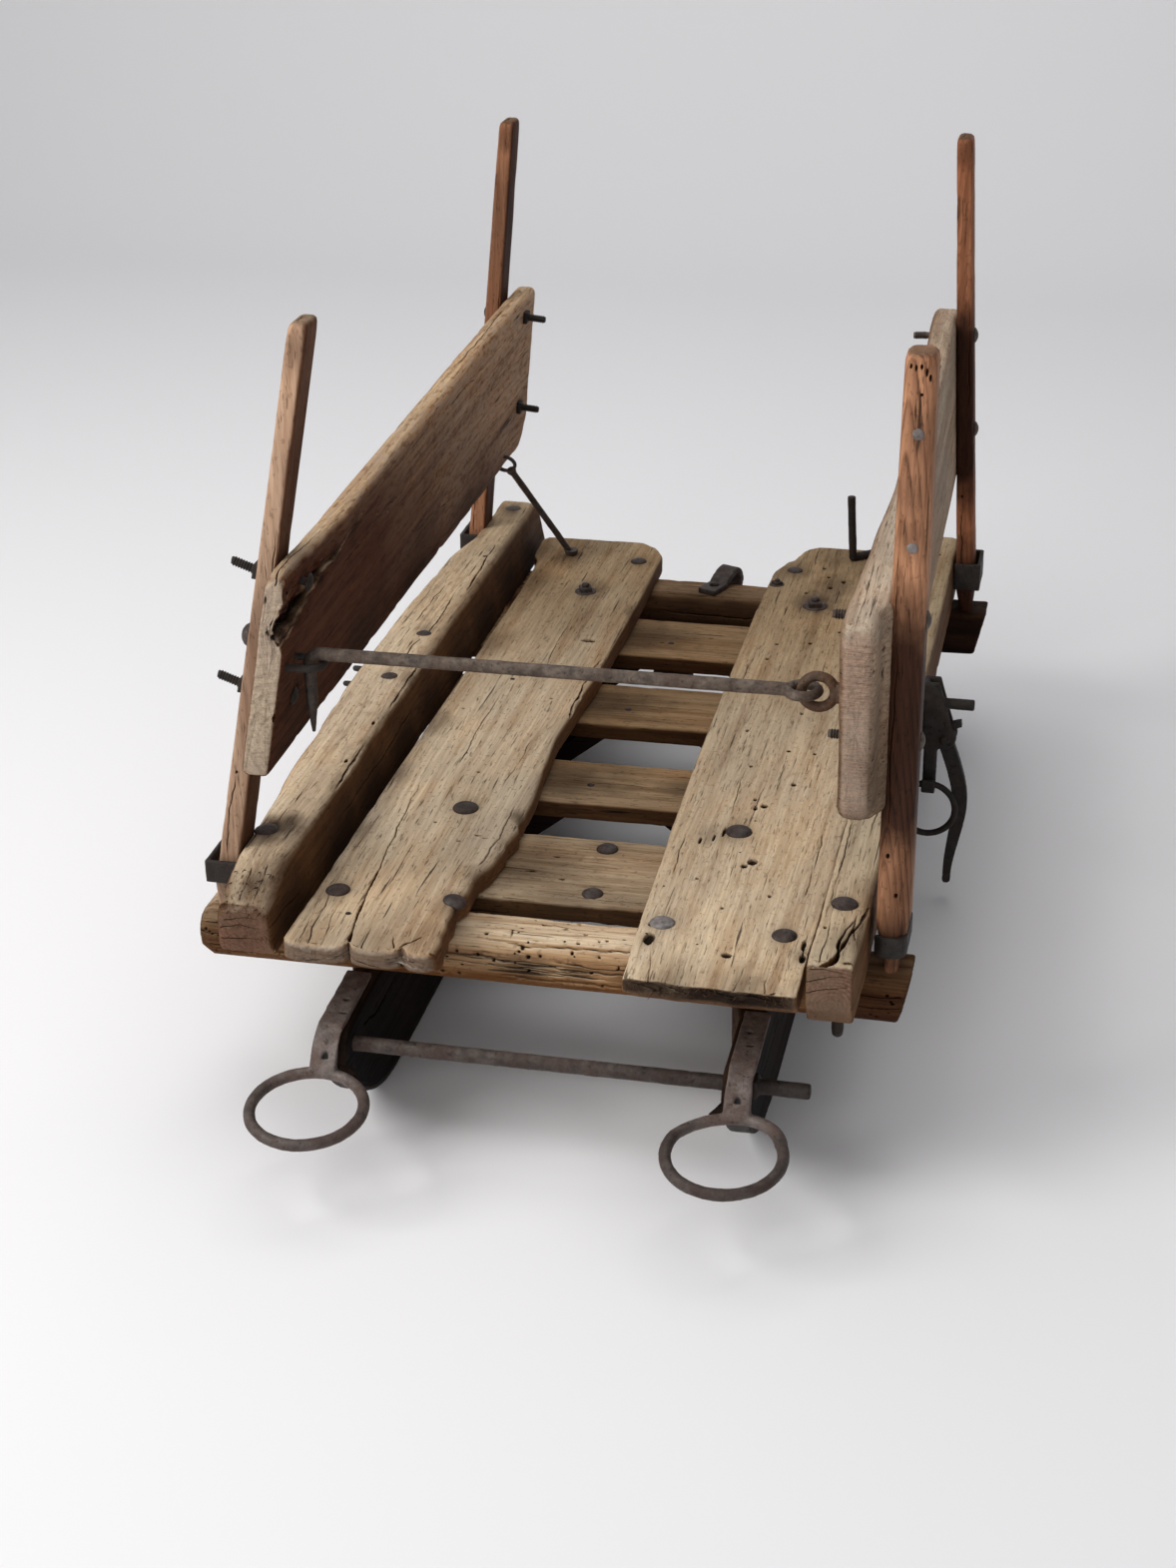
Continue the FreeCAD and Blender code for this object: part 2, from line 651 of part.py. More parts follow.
def side_section(name, y, thick):
    """Cross-section of a side board that lies on the inner face of a stake."""
    side = -1 if STAKES[name][0] < 0 else 1
    inward = -side * thick
    a = stake_inner(name, SIDE_LOW) - side * SEAT_GAP
    b = stake_inner(name, SIDE_HIGH) - side * SEAT_GAP
    points = [V(a, y, SIDE_LOW), V(b, y, SIDE_HIGH), V(b + inward, y, SIDE_HIGH), V(a + inward, y, SIDE_LOW),
              V(a, y, SIDE_LOW)]
    return Part.makePolygon(points)


def board_inner(side, y, z):
    """Inner face of a side board at a place along it."""
    front, rear, thick = SIDES[side][:3]
    start = FRONT_BEAM_Y + STAKE_DEPTH / 2
    end = REAR_BEAM_Y - STAKE_DEPTH / 2
    share = min(max((y - start) / (end - start), 0), 1)
    outer = stake_inner(front, z) * (1 - share) + stake_inner(rear, z) * share
    return outer - side * (thick + SEAT_GAP)


def bolt_heights():
    """The two bolt heights through a board and its stakes."""
    return (SIDE_LOW + BOLT_LOW_RISE, SIDE_HIGH - BOLT_HIGH_DROP)


def bolt_axis(name, z):
    """Start, way out and grip of a bolt through a stake and its board."""
    side = -1 if STAKES[name][0] < 0 else 1
    y = STAKES[name][2]
    step = 10.0
    slope = (stake_inner(name, z + step) - stake_inner(name, z)) / step
    out = V(side, 0, -side * slope).normalize()
    return V(stake_inner(name, z), y, z), out


def bolt_holes(name):
    holes = []
    for z in bolt_heights():
        point, out = bolt_axis(name, z)
        reach = STAKE_THICK_SPARE + SIDE_RIGHT_THICK
        holes.append(rod(point - out * reach, point + out * reach, BOLT_RADIUS + HOLE_GAP))
    return holes


def make_side_board(side):
    front_stake, rear_stake, thick, front_end = SIDES[side]
    stops = [
        (front_stake, front_end),
        (front_stake, FRONT_BEAM_Y + STAKE_DEPTH / 2),
        (rear_stake, REAR_BEAM_Y - STAKE_DEPTH / 2),
        (rear_stake, SIDE_REAR),
    ]
    board = Part.makeLoft([side_section(name, y, thick) for name, y in stops], True, True)
    width = (SIDE_HIGH - SIDE_LOW) * 2
    start = -width if side < 0 else 0
    corner = outline((SIDE_REAR + 1, SIDE_LOW - 1), [(SIDE_REAR + 1, SIDE_LOW + SIDE_CORNER),
                     (SIDE_REAR - SIDE_CORNER, SIDE_LOW - 1)], in_side(start))
    tools = [slab(corner, V(width, 0, 0))] + bolt_holes(front_stake) + bolt_holes(rear_stake)
    if side < 0:
        tools += staple_legs(STAPLE_BAR + SEAT_GAP, SPIKE_INSET + STAPLE_DEPTH + SEAT_GAP)
        tools.append(board_break())
    else:
        tongue = outline((front_end - 1, SIDE_LOW - 1), [(front_end - 1, SIDE_LOW + TONGUE_RISE),
                         (front_end + TONGUE_RUN, SIDE_LOW - 1)], in_side(start))
        tools.append(slab(tongue, V(width, 0, 0)))
    return board.cut(tools)


def board_break():
    """The split that took the front of the left board's upper inner edge."""
    sections = []
    for y, size in ((SIDE_FRONT - 1, 1.0), (TIE_Y + BREAK_WIDE * 2, 0.9), (BREAK_END, 0.02)):
        x = board_inner(-1, y, SIDE_HIGH)
        low = board_inner(-1, y, SIDE_HIGH - BREAK_DEEP * size)
        corners = [V(x + 1, y, SIDE_HIGH + 1), V(x - BREAK_WIDE * size, y, SIDE_HIGH + 1),
                   V(low + 1, y, SIDE_HIGH - BREAK_DEEP * size), V(x + 1, y, SIDE_HIGH + 1)]
        sections.append(Part.makePolygon(corners))
    return Part.makeLoft(sections, True, True)


def make_bolt(name, z, thick, nut_outside):
    """A carriage bolt: domed head on one side, square nut and free thread on the other."""
    point, out = bolt_axis(name, z)
    outside = 2 * stake_half(name, z) + SEAT_GAP
    inside = thick + 2 * SEAT_GAP
    way = out if nut_outside else out * -1
    head_at = point - out * inside if nut_outside else point + out * outside
    nut_at = point + out * outside if nut_outside else point - out * inside
    shank = rod(head_at, nut_at + way * BOLT_REACH, BOLT_RADIUS)
    dome = Part.makeSphere(BOLT_HEAD_RADIUS * 1.35, head_at + way * (BOLT_HEAD_RADIUS * 1.35 - BOLT_HEAD_HEIGHT))
    cap = dome.common(rod(head_at, head_at - way * BOLT_HEAD_HEIGHT * 2, BOLT_HEAD_RADIUS))
    nut = block(-BOLT_NUT / 2, BOLT_NUT / 2, -BOLT_NUT / 2, BOLT_NUT / 2, 0, BOLT_NUT_HEIGHT)
    nut.Placement = FreeCAD.Placement(nut_at, FreeCAD.Rotation(V(0, 0, 1), way))
    return shank.fuse([cap, nut])


def make_bolts(side):
    """The left front pair has its nuts outside, the others inside."""
    front_stake, rear_stake, thick = SIDES[side][:3]
    solids = []
    for z in bolt_heights():
        solids.append(make_bolt(front_stake, z, thick, side < 0))
        solids.append(make_bolt(rear_stake, z, thick, False))
    return Part.makeCompound(solids)


def make_draft_strap(side):
    centre = STRAP_LEFT_X if side < 0 else STRAP_RIGHT_X
    ring_x = centre if side < 0 else centre + RING_OFFSET
    back = FRONT_BEAM_Y - BEAM_HALF - SEAT_GAP
    tip = NOSE_TIP
    turn = math.radians(RING_TILT)
    root = (RING_CENTRE_Y + RING_RADIUS * math.cos(turn), RING_CENTRE_Z + RING_RADIUS * math.sin(turn))
    slope = (BEAM_LOW - NOSE_TOP) / (FRONT_BEAM_Y - BEAM_HALF - NOSE_CREST)
    back_z = NOSE_TOP + slope * (back - NOSE_CREST)
    steps = [
        (back, back_z + STRAP_THICK),
        (NOSE_CREST, NOSE_TOP + STRAP_THICK),
        ((tip - STRAP_THICK * 0.9, (NOSE_TOP + root[1]) / 2 + STRAP_THICK), (root[0] - RING_BAR, root[1])),
        (root[0] + RING_BAR, root[1] - RING_BAR / 2),
        ((tip - 1.2, (NOSE_TOP + root[1]) / 2 + 2), (NOSE_CREST, NOSE_TOP + SEAT_GAP)),
    ]
    wire = outline((back, back_z + SEAT_GAP), steps, in_side(centre - STRAP_WIDTH / 2))
    strap = slab(wire, V(STRAP_WIDTH, 0, 0))
    normal = V(0, -math.sin(turn), math.cos(turn))
    loop = ring(V(ring_x, RING_CENTRE_Y, RING_CENTRE_Z), normal, RING_RADIUS, RING_BAR)
    hoop = strap.fuse(loop)
    return hoop.cut(make_runner_core(side))


def make_runner_core(side):
    """The nose of the runner, grown by the seat gap, to seat the strap on it."""
    centre = side * RUNNER_TRACK / 2
    under = on_arc(NOSE_ANGLE, NOSE_RADIUS)
    steps = [
        (NOSE_CREST, NOSE_TOP + SEAT_GAP),
        ((NOSE_TIP - SEAT_GAP, (NOSE_TOP + under[1]) / 2), (under[0] - SEAT_GAP, under[1] - SEAT_GAP)),
        (FRONT_BEAM_Y, under[1]),
    ]
    wire = outline((FRONT_BEAM_Y - BEAM_HALF - SEAT_GAP, BEAM_LOW + SEAT_GAP / 2), steps, in_side(centre - RUNNER_THICK))
    return slab(wire, V(2 * RUNNER_THICK, 0, 0))


def make_nose_rod():
    shaft = rod(V(NOSE_ROD_LEFT, NOSE_ROD_Y, NOSE_ROD_Z), V(NOSE_ROD_RIGHT, NOSE_ROD_Y, NOSE_ROD_Z), NOSE_ROD_RADIUS)
    face = (RUNNER_TRACK + RUNNER_THICK) / 2 + SEAT_GAP
    nut = block(face, face + BOLT_NUT_HEIGHT, NOSE_ROD_Y - BOLT_NUT / 2 - 2, NOSE_ROD_Y + BOLT_NUT / 2 + 2,
                NOSE_ROD_Z - BOLT_NUT / 2 - 2, NOSE_ROD_Z + BOLT_NUT / 2 + 2)
    return shaft.fuse(nut)


def tie_spike_x():
    return board_inner(-1, TIE_Y, TIE_HIGH) + SPIKE_INSET


def tie_centre():
    return V(TIE_EYE_X, TIE_Y, TIE_HIGH)


def make_tie_rod():
    """Bar with a linked loop at its right end and a pointed drop hook at its left end."""
    left = tie_spike_x()
    bend = TIE_RADIUS * 1.8
    loop_x = TIE_EYE_X - EYE_RADIUS + TIE_LOOP_SHIFT
    bar_end = V(loop_x - TIE_LOOP_RADIUS, TIE_Y, TIE_HIGH)
    start = V(left + bend, TIE_Y, TIE_HIGH)
    bar = rod(start, bar_end, TIE_RADIUS)
    loop = ring(V(loop_x, TIE_Y, TIE_HIGH), V(0, 0, 1), TIE_LOOP_RADIUS, TIE_LOOP_BAR)
    corner = V(left + bend, TIE_Y, TIE_HIGH - bend)
    path = Part.Wire(Part.Arc(start, corner + V(-bend * math.cos(math.pi / 4), 0, bend * math.sin(math.pi / 4)),
                              V(left, TIE_Y, TIE_HIGH - bend)).toShape())
    section = Part.Wire(Part.Circle(start, V(1, 0, 0), TIE_RADIUS).toShape())
    elbow = path.makePipeShell([section], True, True)
    waist = V(left, TIE_Y, TIE_HIGH - bend)
    thick = Part.makeCone(TIE_RADIUS, TIE_RADIUS * 0.9, SPIKE_LENGTH * 0.55, waist, V(0, 0, -1))
    point = Part.makeCone(TIE_RADIUS * 0.9, SPIKE_POINT, SPIKE_LENGTH * 0.45, waist - V(0, 0, SPIKE_LENGTH * 0.55), V(0, 0, -1))
    return bar.fuse([loop, elbow, thick, point])


def make_tie_eye():
    """Eye bolt in the right board: its ring is threaded by the tie rod's loop."""
    inner = board_inner(1, TIE_Y, TIE_HIGH) - SEAT_GAP
    centre = tie_centre()
    loop = ring(centre, V(0, 1, 0), EYE_RADIUS, EYE_BAR)
    shank = rod(centre + V(EYE_RADIUS, 0, 0), V(inner, TIE_Y, TIE_HIGH), EYE_BAR)
    collar = rod(V(inner - EYE_COLLAR, TIE_Y, TIE_HIGH), V(inner, TIE_Y, TIE_HIGH), EYE_BAR * 2)
    return loop.fuse([shank, collar])


def staple_level():
    """Height of the U staple's bar, right under the resting tie rod."""
    return TIE_HIGH - TIE_RADIUS - SEAT_GAP - STAPLE_BAR


def staple_legs(radius, reach):
    """The two legs of the U staple, or with more radius the holes for them."""
    z = staple_level()
    room = TIE_RADIUS + SPIKE_ROOM + STAPLE_BAR
    x = tie_spike_x()
    return [rod(V(x, TIE_Y + way * room, z), V(x - reach, TIE_Y + way * room, z), radius) for way in (-1, 1)]


def make_tie_staple():
    """U staple in the left board that the tie rod's drop hook falls through."""
    z = staple_level()
    room = TIE_RADIUS + SPIKE_ROOM + STAPLE_BAR
    x = tie_spike_x()
    arc = Part.Arc(V(x, TIE_Y - room, z), V(x + room, TIE_Y, z), V(x, TIE_Y + room, z)).toShape()
    circle = Part.Circle(V(x, TIE_Y - room, z), V(1, 0, 0), STAPLE_BAR).toShape()
    bend = Part.Wire(arc).makePipeShell([Part.Wire(circle)], True, True)
    return bend.fuse(staple_legs(STAPLE_BAR, SPIKE_INSET + STAPLE_DEPTH))


def make_stay():
    """Bent rod from the left side board down to the deck."""
    top = V(board_inner(-1, STAY_TOP_Y, STAY_TOP_Z) + STAY_RADIUS + 3 * SEAT_GAP, STAY_TOP_Y, STAY_TOP_Z)
    foot = V(STAY_FOOT_X, STAY_FOOT_Y, DECK_TOP + STAY_RADIUS)
    bar = rod(top, foot, STAY_RADIUS)
    pad = Part.makeCylinder(STAY_RADIUS * 2.6, STAY_RADIUS + 3, V(foot.x, foot.y, DECK_TOP))
    eye = ring(top + V(0, 0, STAY_EYE_RADIUS), V(1, 0, 0.12), STAY_EYE_RADIUS, STAY_RADIUS * 0.5)
    knob = Part.makeSphere(STAY_RADIUS, top)
    return bar.fuse([pad, eye, knob])


def make_corner_hook():
    """L hook standing on the deck at the rear right."""
    z = DECK_TOP + CORNER_BAR
    a = V(CORNER_X + CORNER_RUN, CORNER_Y + CORNER_SET, z)
    b = V(CORNER_X, CORNER_Y, z)
    c = V(CORNER_X - 4, CORNER_Y, z + CORNER_RISE)
    return rod(a, b, CORNER_BAR).fuse([Part.makeSphere(CORNER_BAR, b), rod(b, c, CORNER_BAR)])


def make_hitch():
    """Flat iron on the rear beam that humps up and curls down behind it."""
    front = REAR_BEAM_Y - BEAM_HALF + HITCH_INSET
    flat = REAR_BEAM_Y + HITCH_HOLE * 1.4
    crest = REAR_BEAM_Y + BEAM_HALF + HITCH_OVERHANG / 2
    tip = crest + HITCH_OVERHANG / 2
    z = DECK_Z
    t = HITCH_THICK
    steps = [
        (front, z + t),
        (flat, z + t),
        [(flat + (crest - flat) / 2, z + t + HITCH_HUMP * 0.75), (crest, z + t + HITCH_HUMP)],
        ((tip, z + t), (tip - t * 0.4, z - HITCH_DROP)),
        (tip - t * 1.5, z - HITCH_DROP),
        ((tip - t * 1.2, z + t * 0.6), (crest, z + HITCH_HUMP)),
        [(flat + (crest - flat) / 2, z + HITCH_HUMP * 0.65), (flat, z)],
    ]
    hook = slab(outline((front, z), steps, in_side(HITCH_X - HITCH_WIDTH / 2)), V(HITCH_WIDTH, 0, 0))
    hole = Part.makeCylinder(HITCH_HOLE, t * 3, V(HITCH_X, REAR_BEAM_Y, z - t))
    hook = hook.cut(hole)
    hook.rotate(V(HITCH_X, REAR_BEAM_Y, z), V(0, 0, 1), -HITCH_SKEW)
    return hook


def hanger_face():
    return RAIL_RIGHT_OUTER + SEAT_GAP


def ring_trough():
    """Middle of the hanger's curl, where the ring's bar lies."""
    y = HANGER_Y - HANGER_THICK - HANG_RING_BAR - RING_GAP
    return V(hanger_face() + HANGER_TAIL_SET + HANGER_TAIL / 2, y, HANGER_SEAT)


def make_hanger():
    """Bracket on the right rail: two ears hold the lever, and the front one ends in a curl for the ring."""
    x0 = hanger_face()
    front = HANGER_Y
    rear = front + LEVER_THICK + 2 * LEVER_PLAY
    pin = V(LEVER_PIN_X, 0, LEVER_PIN_Z)
    base = block(x0, x0 + HANGER_THICK, front - HANGER_THICK, rear + HANGER_THICK, LEVER_PIN_Z - HANGER_EAR, HANGER_TOP)
    ears = []
    for y in (front - HANGER_THICK, rear):
        wire = outline((x0, HANGER_TOP), [
            (x0 + HANGER_THICK * 3, HANGER_TOP),
            (LEVER_PIN_X + HANGER_EAR * 0.6, LEVER_PIN_Z + HANGER_EAR),
            ((LEVER_PIN_X + HANGER_EAR, LEVER_PIN_Z), (LEVER_PIN_X, LEVER_PIN_Z - HANGER_EAR)),
            (x0, LEVER_PIN_Z - HANGER_EAR),
        ], in_front(y))
        ears.append(slab(wire, V(0, HANGER_THICK, 0)))
    trough = ring_trough()
    inner = HANG_RING_BAR + RING_GAP
    outer = inner + HANGER_THICK
    steps = [
        (front, LEVER_PIN_Z),
        (front, trough.z),
        ((trough.y, trough.z - outer), (trough.y - outer, trough.z)),
        (trough.y - outer, trough.z + HANGER_LIP),
        (trough.y - inner, trough.z + HANGER_LIP),
        (trough.y - inner, trough.z),
        ((trough.y, trough.z - inner), (trough.y + inner, trough.z)),
    ]
    start = (front - HANGER_THICK, LEVER_PIN_Z)
    tail = slab(outline(start, steps, in_side(trough.x - HANGER_TAIL / 2)), V(HANGER_TAIL, 0, 0))
    hub = rod(V(pin.x, front - HANGER_THICK - LEVER_PIN_RADIUS, pin.z), V(pin.x, rear + HANGER_THICK + LEVER_PIN_RADIUS, pin.z),
              LEVER_PIN_RADIUS)
    stub_y = (front + rear) / 2
    stub = rod(V(x0, stub_y, SIDE_STUB_Z), V(x0 + HANGER_THICK + SIDE_STUB_REACH, stub_y, SIDE_STUB_Z), SIDE_STUB_RADIUS)
    return base.fuse(ears + [tail, hub, stub])


def make_hang_ring():
    pivot = ring_trough()
    return ring(pivot - V(0, 0, HANG_RING_RADIUS), V(0, 1, 0), HANG_RING_RADIUS, HANG_RING_BAR)


def make_lever():
    """Forged lever hanging from its pin, with a curled top and a tapered tail."""
    x = LEVER_PIN_X
    z = LEVER_PIN_Z
    y = HANGER_Y + LEVER_PLAY
    tip = z - LEVER_LENGTH
    bow = LEVER_BOW
    wide = LEVER_WIDE
    steps = [
        [(x + wide * 0.25, z + LEVER_CURL * 0.8), (x + wide * 0.95, z + LEVER_CURL)],
        (x + wide, z + LEVER_CURL * 0.6),
        [(x + wide * 0.62, z + LEVER_CURL * 0.45), (x + wide * 0.56, z - wide * 0.38)],
        [(x + bow * 0.72, z - LEVER_LENGTH * 0.2), (x + bow, z - LEVER_LENGTH * 0.43), (x + bow * 0.76, z - LEVER_LENGTH * 0.7),
         (x + bow * 0.5, tip + wide * 0.4)],
        ((x + bow * 0.32, tip), (x + bow * 0.16, tip + wide * 0.4)),
        [(x + bow * 0.26, z - LEVER_LENGTH * 0.7), (x + bow * 0.38, z - LEVER_LENGTH * 0.43),
         (x + bow * 0.06, z - LEVER_LENGTH * 0.2), (x - wide * 0.5, z - wide * 0.38)],
    ]
    wire = outline((x - wide * 0.44, z + LEVER_CURL * 0.28), steps, in_front(y))
    lever = slab(wire, V(0, LEVER_THICK, 0))
    hole = rod(V(x, y - 1, z), V(x, y + LEVER_THICK + 1, z), LEVER_PIN_RADIUS + HOLE_GAP)
    return lever.cut(hole)


def build():
    nodes = {
        "runner_left": make_runner(-1),
        "runner_right": make_runner(1),
        "shoe_left": make_shoe(-1),
        "shoe_right": make_shoe(1),
        "front_beam": make_front_beam(),
        "rear_beam": make_rear_beam(),
        "centre_block": make_centre_block(),
        "knee_braces_left": make_braces(-1),
        "knee_braces_right": make_braces(1),
        "deck_board_left": make_deck_left(),
        "deck_board_right": make_deck_right(),
        "rail_left": make_rail_left(),
        "rail_right": make_rail_right(),
        "stake_staples": make_staples(),
        "side_board_left": make_side_board(-1),
        "side_board_right": make_side_board(1),
        "side_bolts_left": make_bolts(-1),
        "side_bolts_right": make_bolts(1),
        "draft_ring_left": make_draft_strap(-1),
        "draft_ring_right": make_draft_strap(1),
        "nose_rod": make_nose_rod(),
        "tie_rod": make_tie_rod(),
        "tie_rod_eye": make_tie_eye(),
        "tie_rod_staple": make_tie_staple(),
        "side_stay": make_stay(),
        "corner_hook": make_corner_hook(),
        "hitch_hook": make_hitch(),
        "rail_hanger": make_hanger(),
        "hang_ring": make_hang_ring(),
        "lever_hook": make_lever(),
    }
    for name in BENCHES:
        nodes[name] = make_bench(name)
    for name in STAKES:
        nodes[name] = make_stake(name).cut(bolt_holes(name))
    return nodes


def main():
    os.makedirs("parts", exist_ok=True)
    nodes = build()
    box = Part.makeCompound(list(nodes.values())).optimalBoundingBox(False, False)
    shift = V(-(box.XMin + box.XMax) / 2, -(box.YMin + box.YMax) / 2, -box.ZMin)
    print("shift", round(shift.x, 4), round(shift.y, 4), round(shift.z, 4))
    print("size", round(box.XLength, 2), round(box.YLength, 2), round(box.ZLength, 2))
    for name, shape in nodes.items():
        shape = shape.copy()
        shape.translate(shift)
        if not shape.isValid():
            print("not valid", name)
        shape.exportStep("parts/" + name + ".step")


main()
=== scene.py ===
import math

import bmesh
import bpy
import numpy as np
from mathutils import Matrix, Vector


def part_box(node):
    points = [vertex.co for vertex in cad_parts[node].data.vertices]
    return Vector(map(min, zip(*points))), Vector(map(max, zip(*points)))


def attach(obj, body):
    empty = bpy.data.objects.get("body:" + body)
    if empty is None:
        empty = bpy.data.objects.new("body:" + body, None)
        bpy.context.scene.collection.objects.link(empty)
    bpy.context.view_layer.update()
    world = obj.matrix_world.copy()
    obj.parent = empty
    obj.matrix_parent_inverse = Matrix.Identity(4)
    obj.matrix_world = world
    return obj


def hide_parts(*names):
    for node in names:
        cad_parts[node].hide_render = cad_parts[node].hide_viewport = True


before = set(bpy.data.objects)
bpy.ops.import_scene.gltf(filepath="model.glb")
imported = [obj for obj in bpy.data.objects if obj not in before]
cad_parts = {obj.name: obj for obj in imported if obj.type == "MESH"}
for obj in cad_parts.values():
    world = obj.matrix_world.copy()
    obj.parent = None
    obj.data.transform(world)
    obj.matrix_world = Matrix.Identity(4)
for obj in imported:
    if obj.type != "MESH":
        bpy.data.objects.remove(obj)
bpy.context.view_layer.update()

# Lengths below are millimetres from the sled's middle: halfway between the runners and between the
# beams, on the floor
MM = 0.001


def frame_middle(low_node, high_node, axis):
    return (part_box(low_node)[0][axis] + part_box(high_node)[1][axis]) / 2


HOME = np.array([frame_middle("runner_left", "runner_right", 0), frame_middle("front_beam", "rear_beam", 1),
                 0.0])


def to_mm(points):
    return (np.asarray(points, float) - HOME) / MM


def to_frame(points):
    return np.asarray(points, float) * MM + HOME


def span(node):
    """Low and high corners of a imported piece."""
    low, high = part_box(node)
    return to_mm(low), to_mm(high)


def packed_points(node):
    return vertex_places(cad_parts[node].data)


def add_object(name, data):
    made = bpy.data.objects.new(name, data)
    bpy.context.scene.collection.objects.link(made)
    return made


def vertex_places(mesh):
    flat = np.zeros(len(mesh.vertices) * 3)
    mesh.vertices.foreach_get("co", flat)
    return to_mm(flat.reshape(-1, 3))


def hand_in(piece, body, node=None):
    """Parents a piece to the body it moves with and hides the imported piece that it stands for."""
    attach(piece, body)
    if node:
        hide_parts(node)
    return piece


# Steady noise

def cell_value(cells, seed):
    """A steady number from -1 to 1 for each cell of a lattice."""
    n = (cells[..., 0] * 374761393 + cells[...,
                                           1] * 668265263 + cells[..., 2] * 1440662683 + seed * 974634777)
    n = n & 0xFFFFFFFF
    n = ((n ^ (n >> 13)) * 1274126177) & 0xFFFFFFFF
    n = n ^ (n >> 16)
    return (n & 0xFFFFF) / 524287.5 - 1.0


def soft_noise(points, seed):
    base = np.floor(points).astype(np.int64)
    part = points - base
    part = part * part * (3 - 2 * part)
    total = np.zeros(len(points))
    for dx in (0, 1):
        for dy in (0, 1):
            for dz in (0, 1):
                weight = np.ones(len(points))
                for axis, d in enumerate((dx, dy, dz)):
                    weight *= part[:, axis] if d else 1 - part[:, axis]
                total += weight * cell_value(base + np.array([dx, dy, dz]), seed)
    return total


def layered_noise(points, seed, layers=3):
    total = np.zeros(len(points))
    size = 1.0
    for layer in range(layers):
        total += soft_noise(points * 2.0 ** layer, seed + layer) * size
        size *= 0.5
    return total / 1.75


def jag_line(values, period, seed):
    """A zigzag from -1 to 1 that turns once in each period."""
    step = values / period
    base = np.floor(step).astype(np.int64)
    cells = np.zeros((len(values), 3), np.int64)
    cells[:, 0] = base
    first = cell_value(cells, seed)
    cells[:, 0] = base + 1
    return first + (cell_value(cells, seed) - first) * (step - base)


# Boards: each is built in its own space, x along the grain, y across, z up, then placed

# A split is drawn at least this wide to each side, and fainter where it is less
THINNEST = 0.6
# How squarely a face has to look a feature's way, as the cosine of the angle
FACING = 0.35
FAR = 1e3
# How often a split turns, and how often it grows wider or narrower
LONG_JAG = 19.0
SHORT_JAG = 5.5
WIDTH_JAG = 13.0


class Crack:
    """An open split along a path on one face, widest where it starts, or closed at both ends."""

    def __init__(self, face, path, width, depth, wander=1.2, inside=False):
        self.face = face
        self.path = np.array(path, float)
        self.width = width
        self.depth = depth
        self.wander = wander
        self.inside = inside

    def measure(self, points, normals, seed):
        """How strongly each point is in the split, and its distance from it in millimetres."""
        axis, sign = self.face
        keep = [a for a in (0, 1, 2) if a != axis]
        flat = points[:, keep].copy()
        size = np.ptp(self.path, axis=0)
        main = int(size[1] > size[0])
        flat[:, 1 - main] += jag_line(flat[:, main], LONG_JAG, seed) * self.wander
        flat[:, 1 - main] += jag_line(flat[:, main], SHORT_JAG, seed + 5) * self.wander * 0.35
        nearest = np.full(len(points), np.inf)
        share = np.zeros(len(points))
        total = np.linalg.norm(np.diff(self.path, axis=0), axis=1).sum()
        done = 0.0
        for a, b in zip(self.path[:-1], self.path[1:]):
            run = b - a
            length = np.linalg.norm(run)
            part = np.clip(((flat - a) @ run) / length ** 2, 0, 1)
            gap = np.linalg.norm(flat - a - part[:, None] * run, axis=1)
            closer = gap < nearest
            nearest = np.where(closer, gap, nearest)
            share = np.where(closer, (done + part * length) / total, share)
            done += length
        shape = np.clip((1 - share) * 6, 0, 1) ** 0.7 * (1 - share * 0.75)
        if self.inside:
            shape = np.clip(np.minimum(share, 1 - share) * 5, 0, 1) ** 0.7
        half = self.width / 2 * shape * (0.68 + 0.4 * jag_line(share * total, WIDTH_JAG, seed + 9))
        drawn = np.maximum(half, THINNEST)
        facing = normals[:, axis] * sign > FACING
        strength = np.clip(1.15 - nearest / drawn, 0, 1) * np.clip(half / drawn * 1.3, 0, 1)
        return np.where(facing, strength, 0), np.where(facing, nearest - half, FAR)


class Holes:
    """Round or long worn holes on one face: place, half length, half width."""

    def __init__(self, face, spots, depth):
        self.face = face
        self.spots = spots
        self.depth = depth

    def measure(self, points, normals, seed):
        axis, sign = self.face
        keep = [a for a in (0, 1, 2) if a != axis]
        facing = normals[:, axis] * sign > FACING
        best = np.full(len(points), 9.0)
        away = np.full(len(points), FAR)
        ragged = 1 + 0.22 * layered_noise(points / 2.6, seed, 2)
        for u, v, half_u, half_v in self.spots:
            gap = np.hypot((points[:, keep[0]] - u) / half_u, (points[:, keep[1]] - v) / half_v) * ragged
            best = np.minimum(best, gap)
            away = np.minimum(away, (gap - 1) * min(half_u, half_v))
        return np.where(facing, np.clip(1.3 - best ** 2, 0, 1) ** 0.5, 0), np.where(facing, away, FAR)


TOP = (2, 1)
UNDER = (2, -1)
HIGH_Y = (1, 1)
LOW_Y = (1, -1)
START = (0, -1)
FINISH = (0, 1)


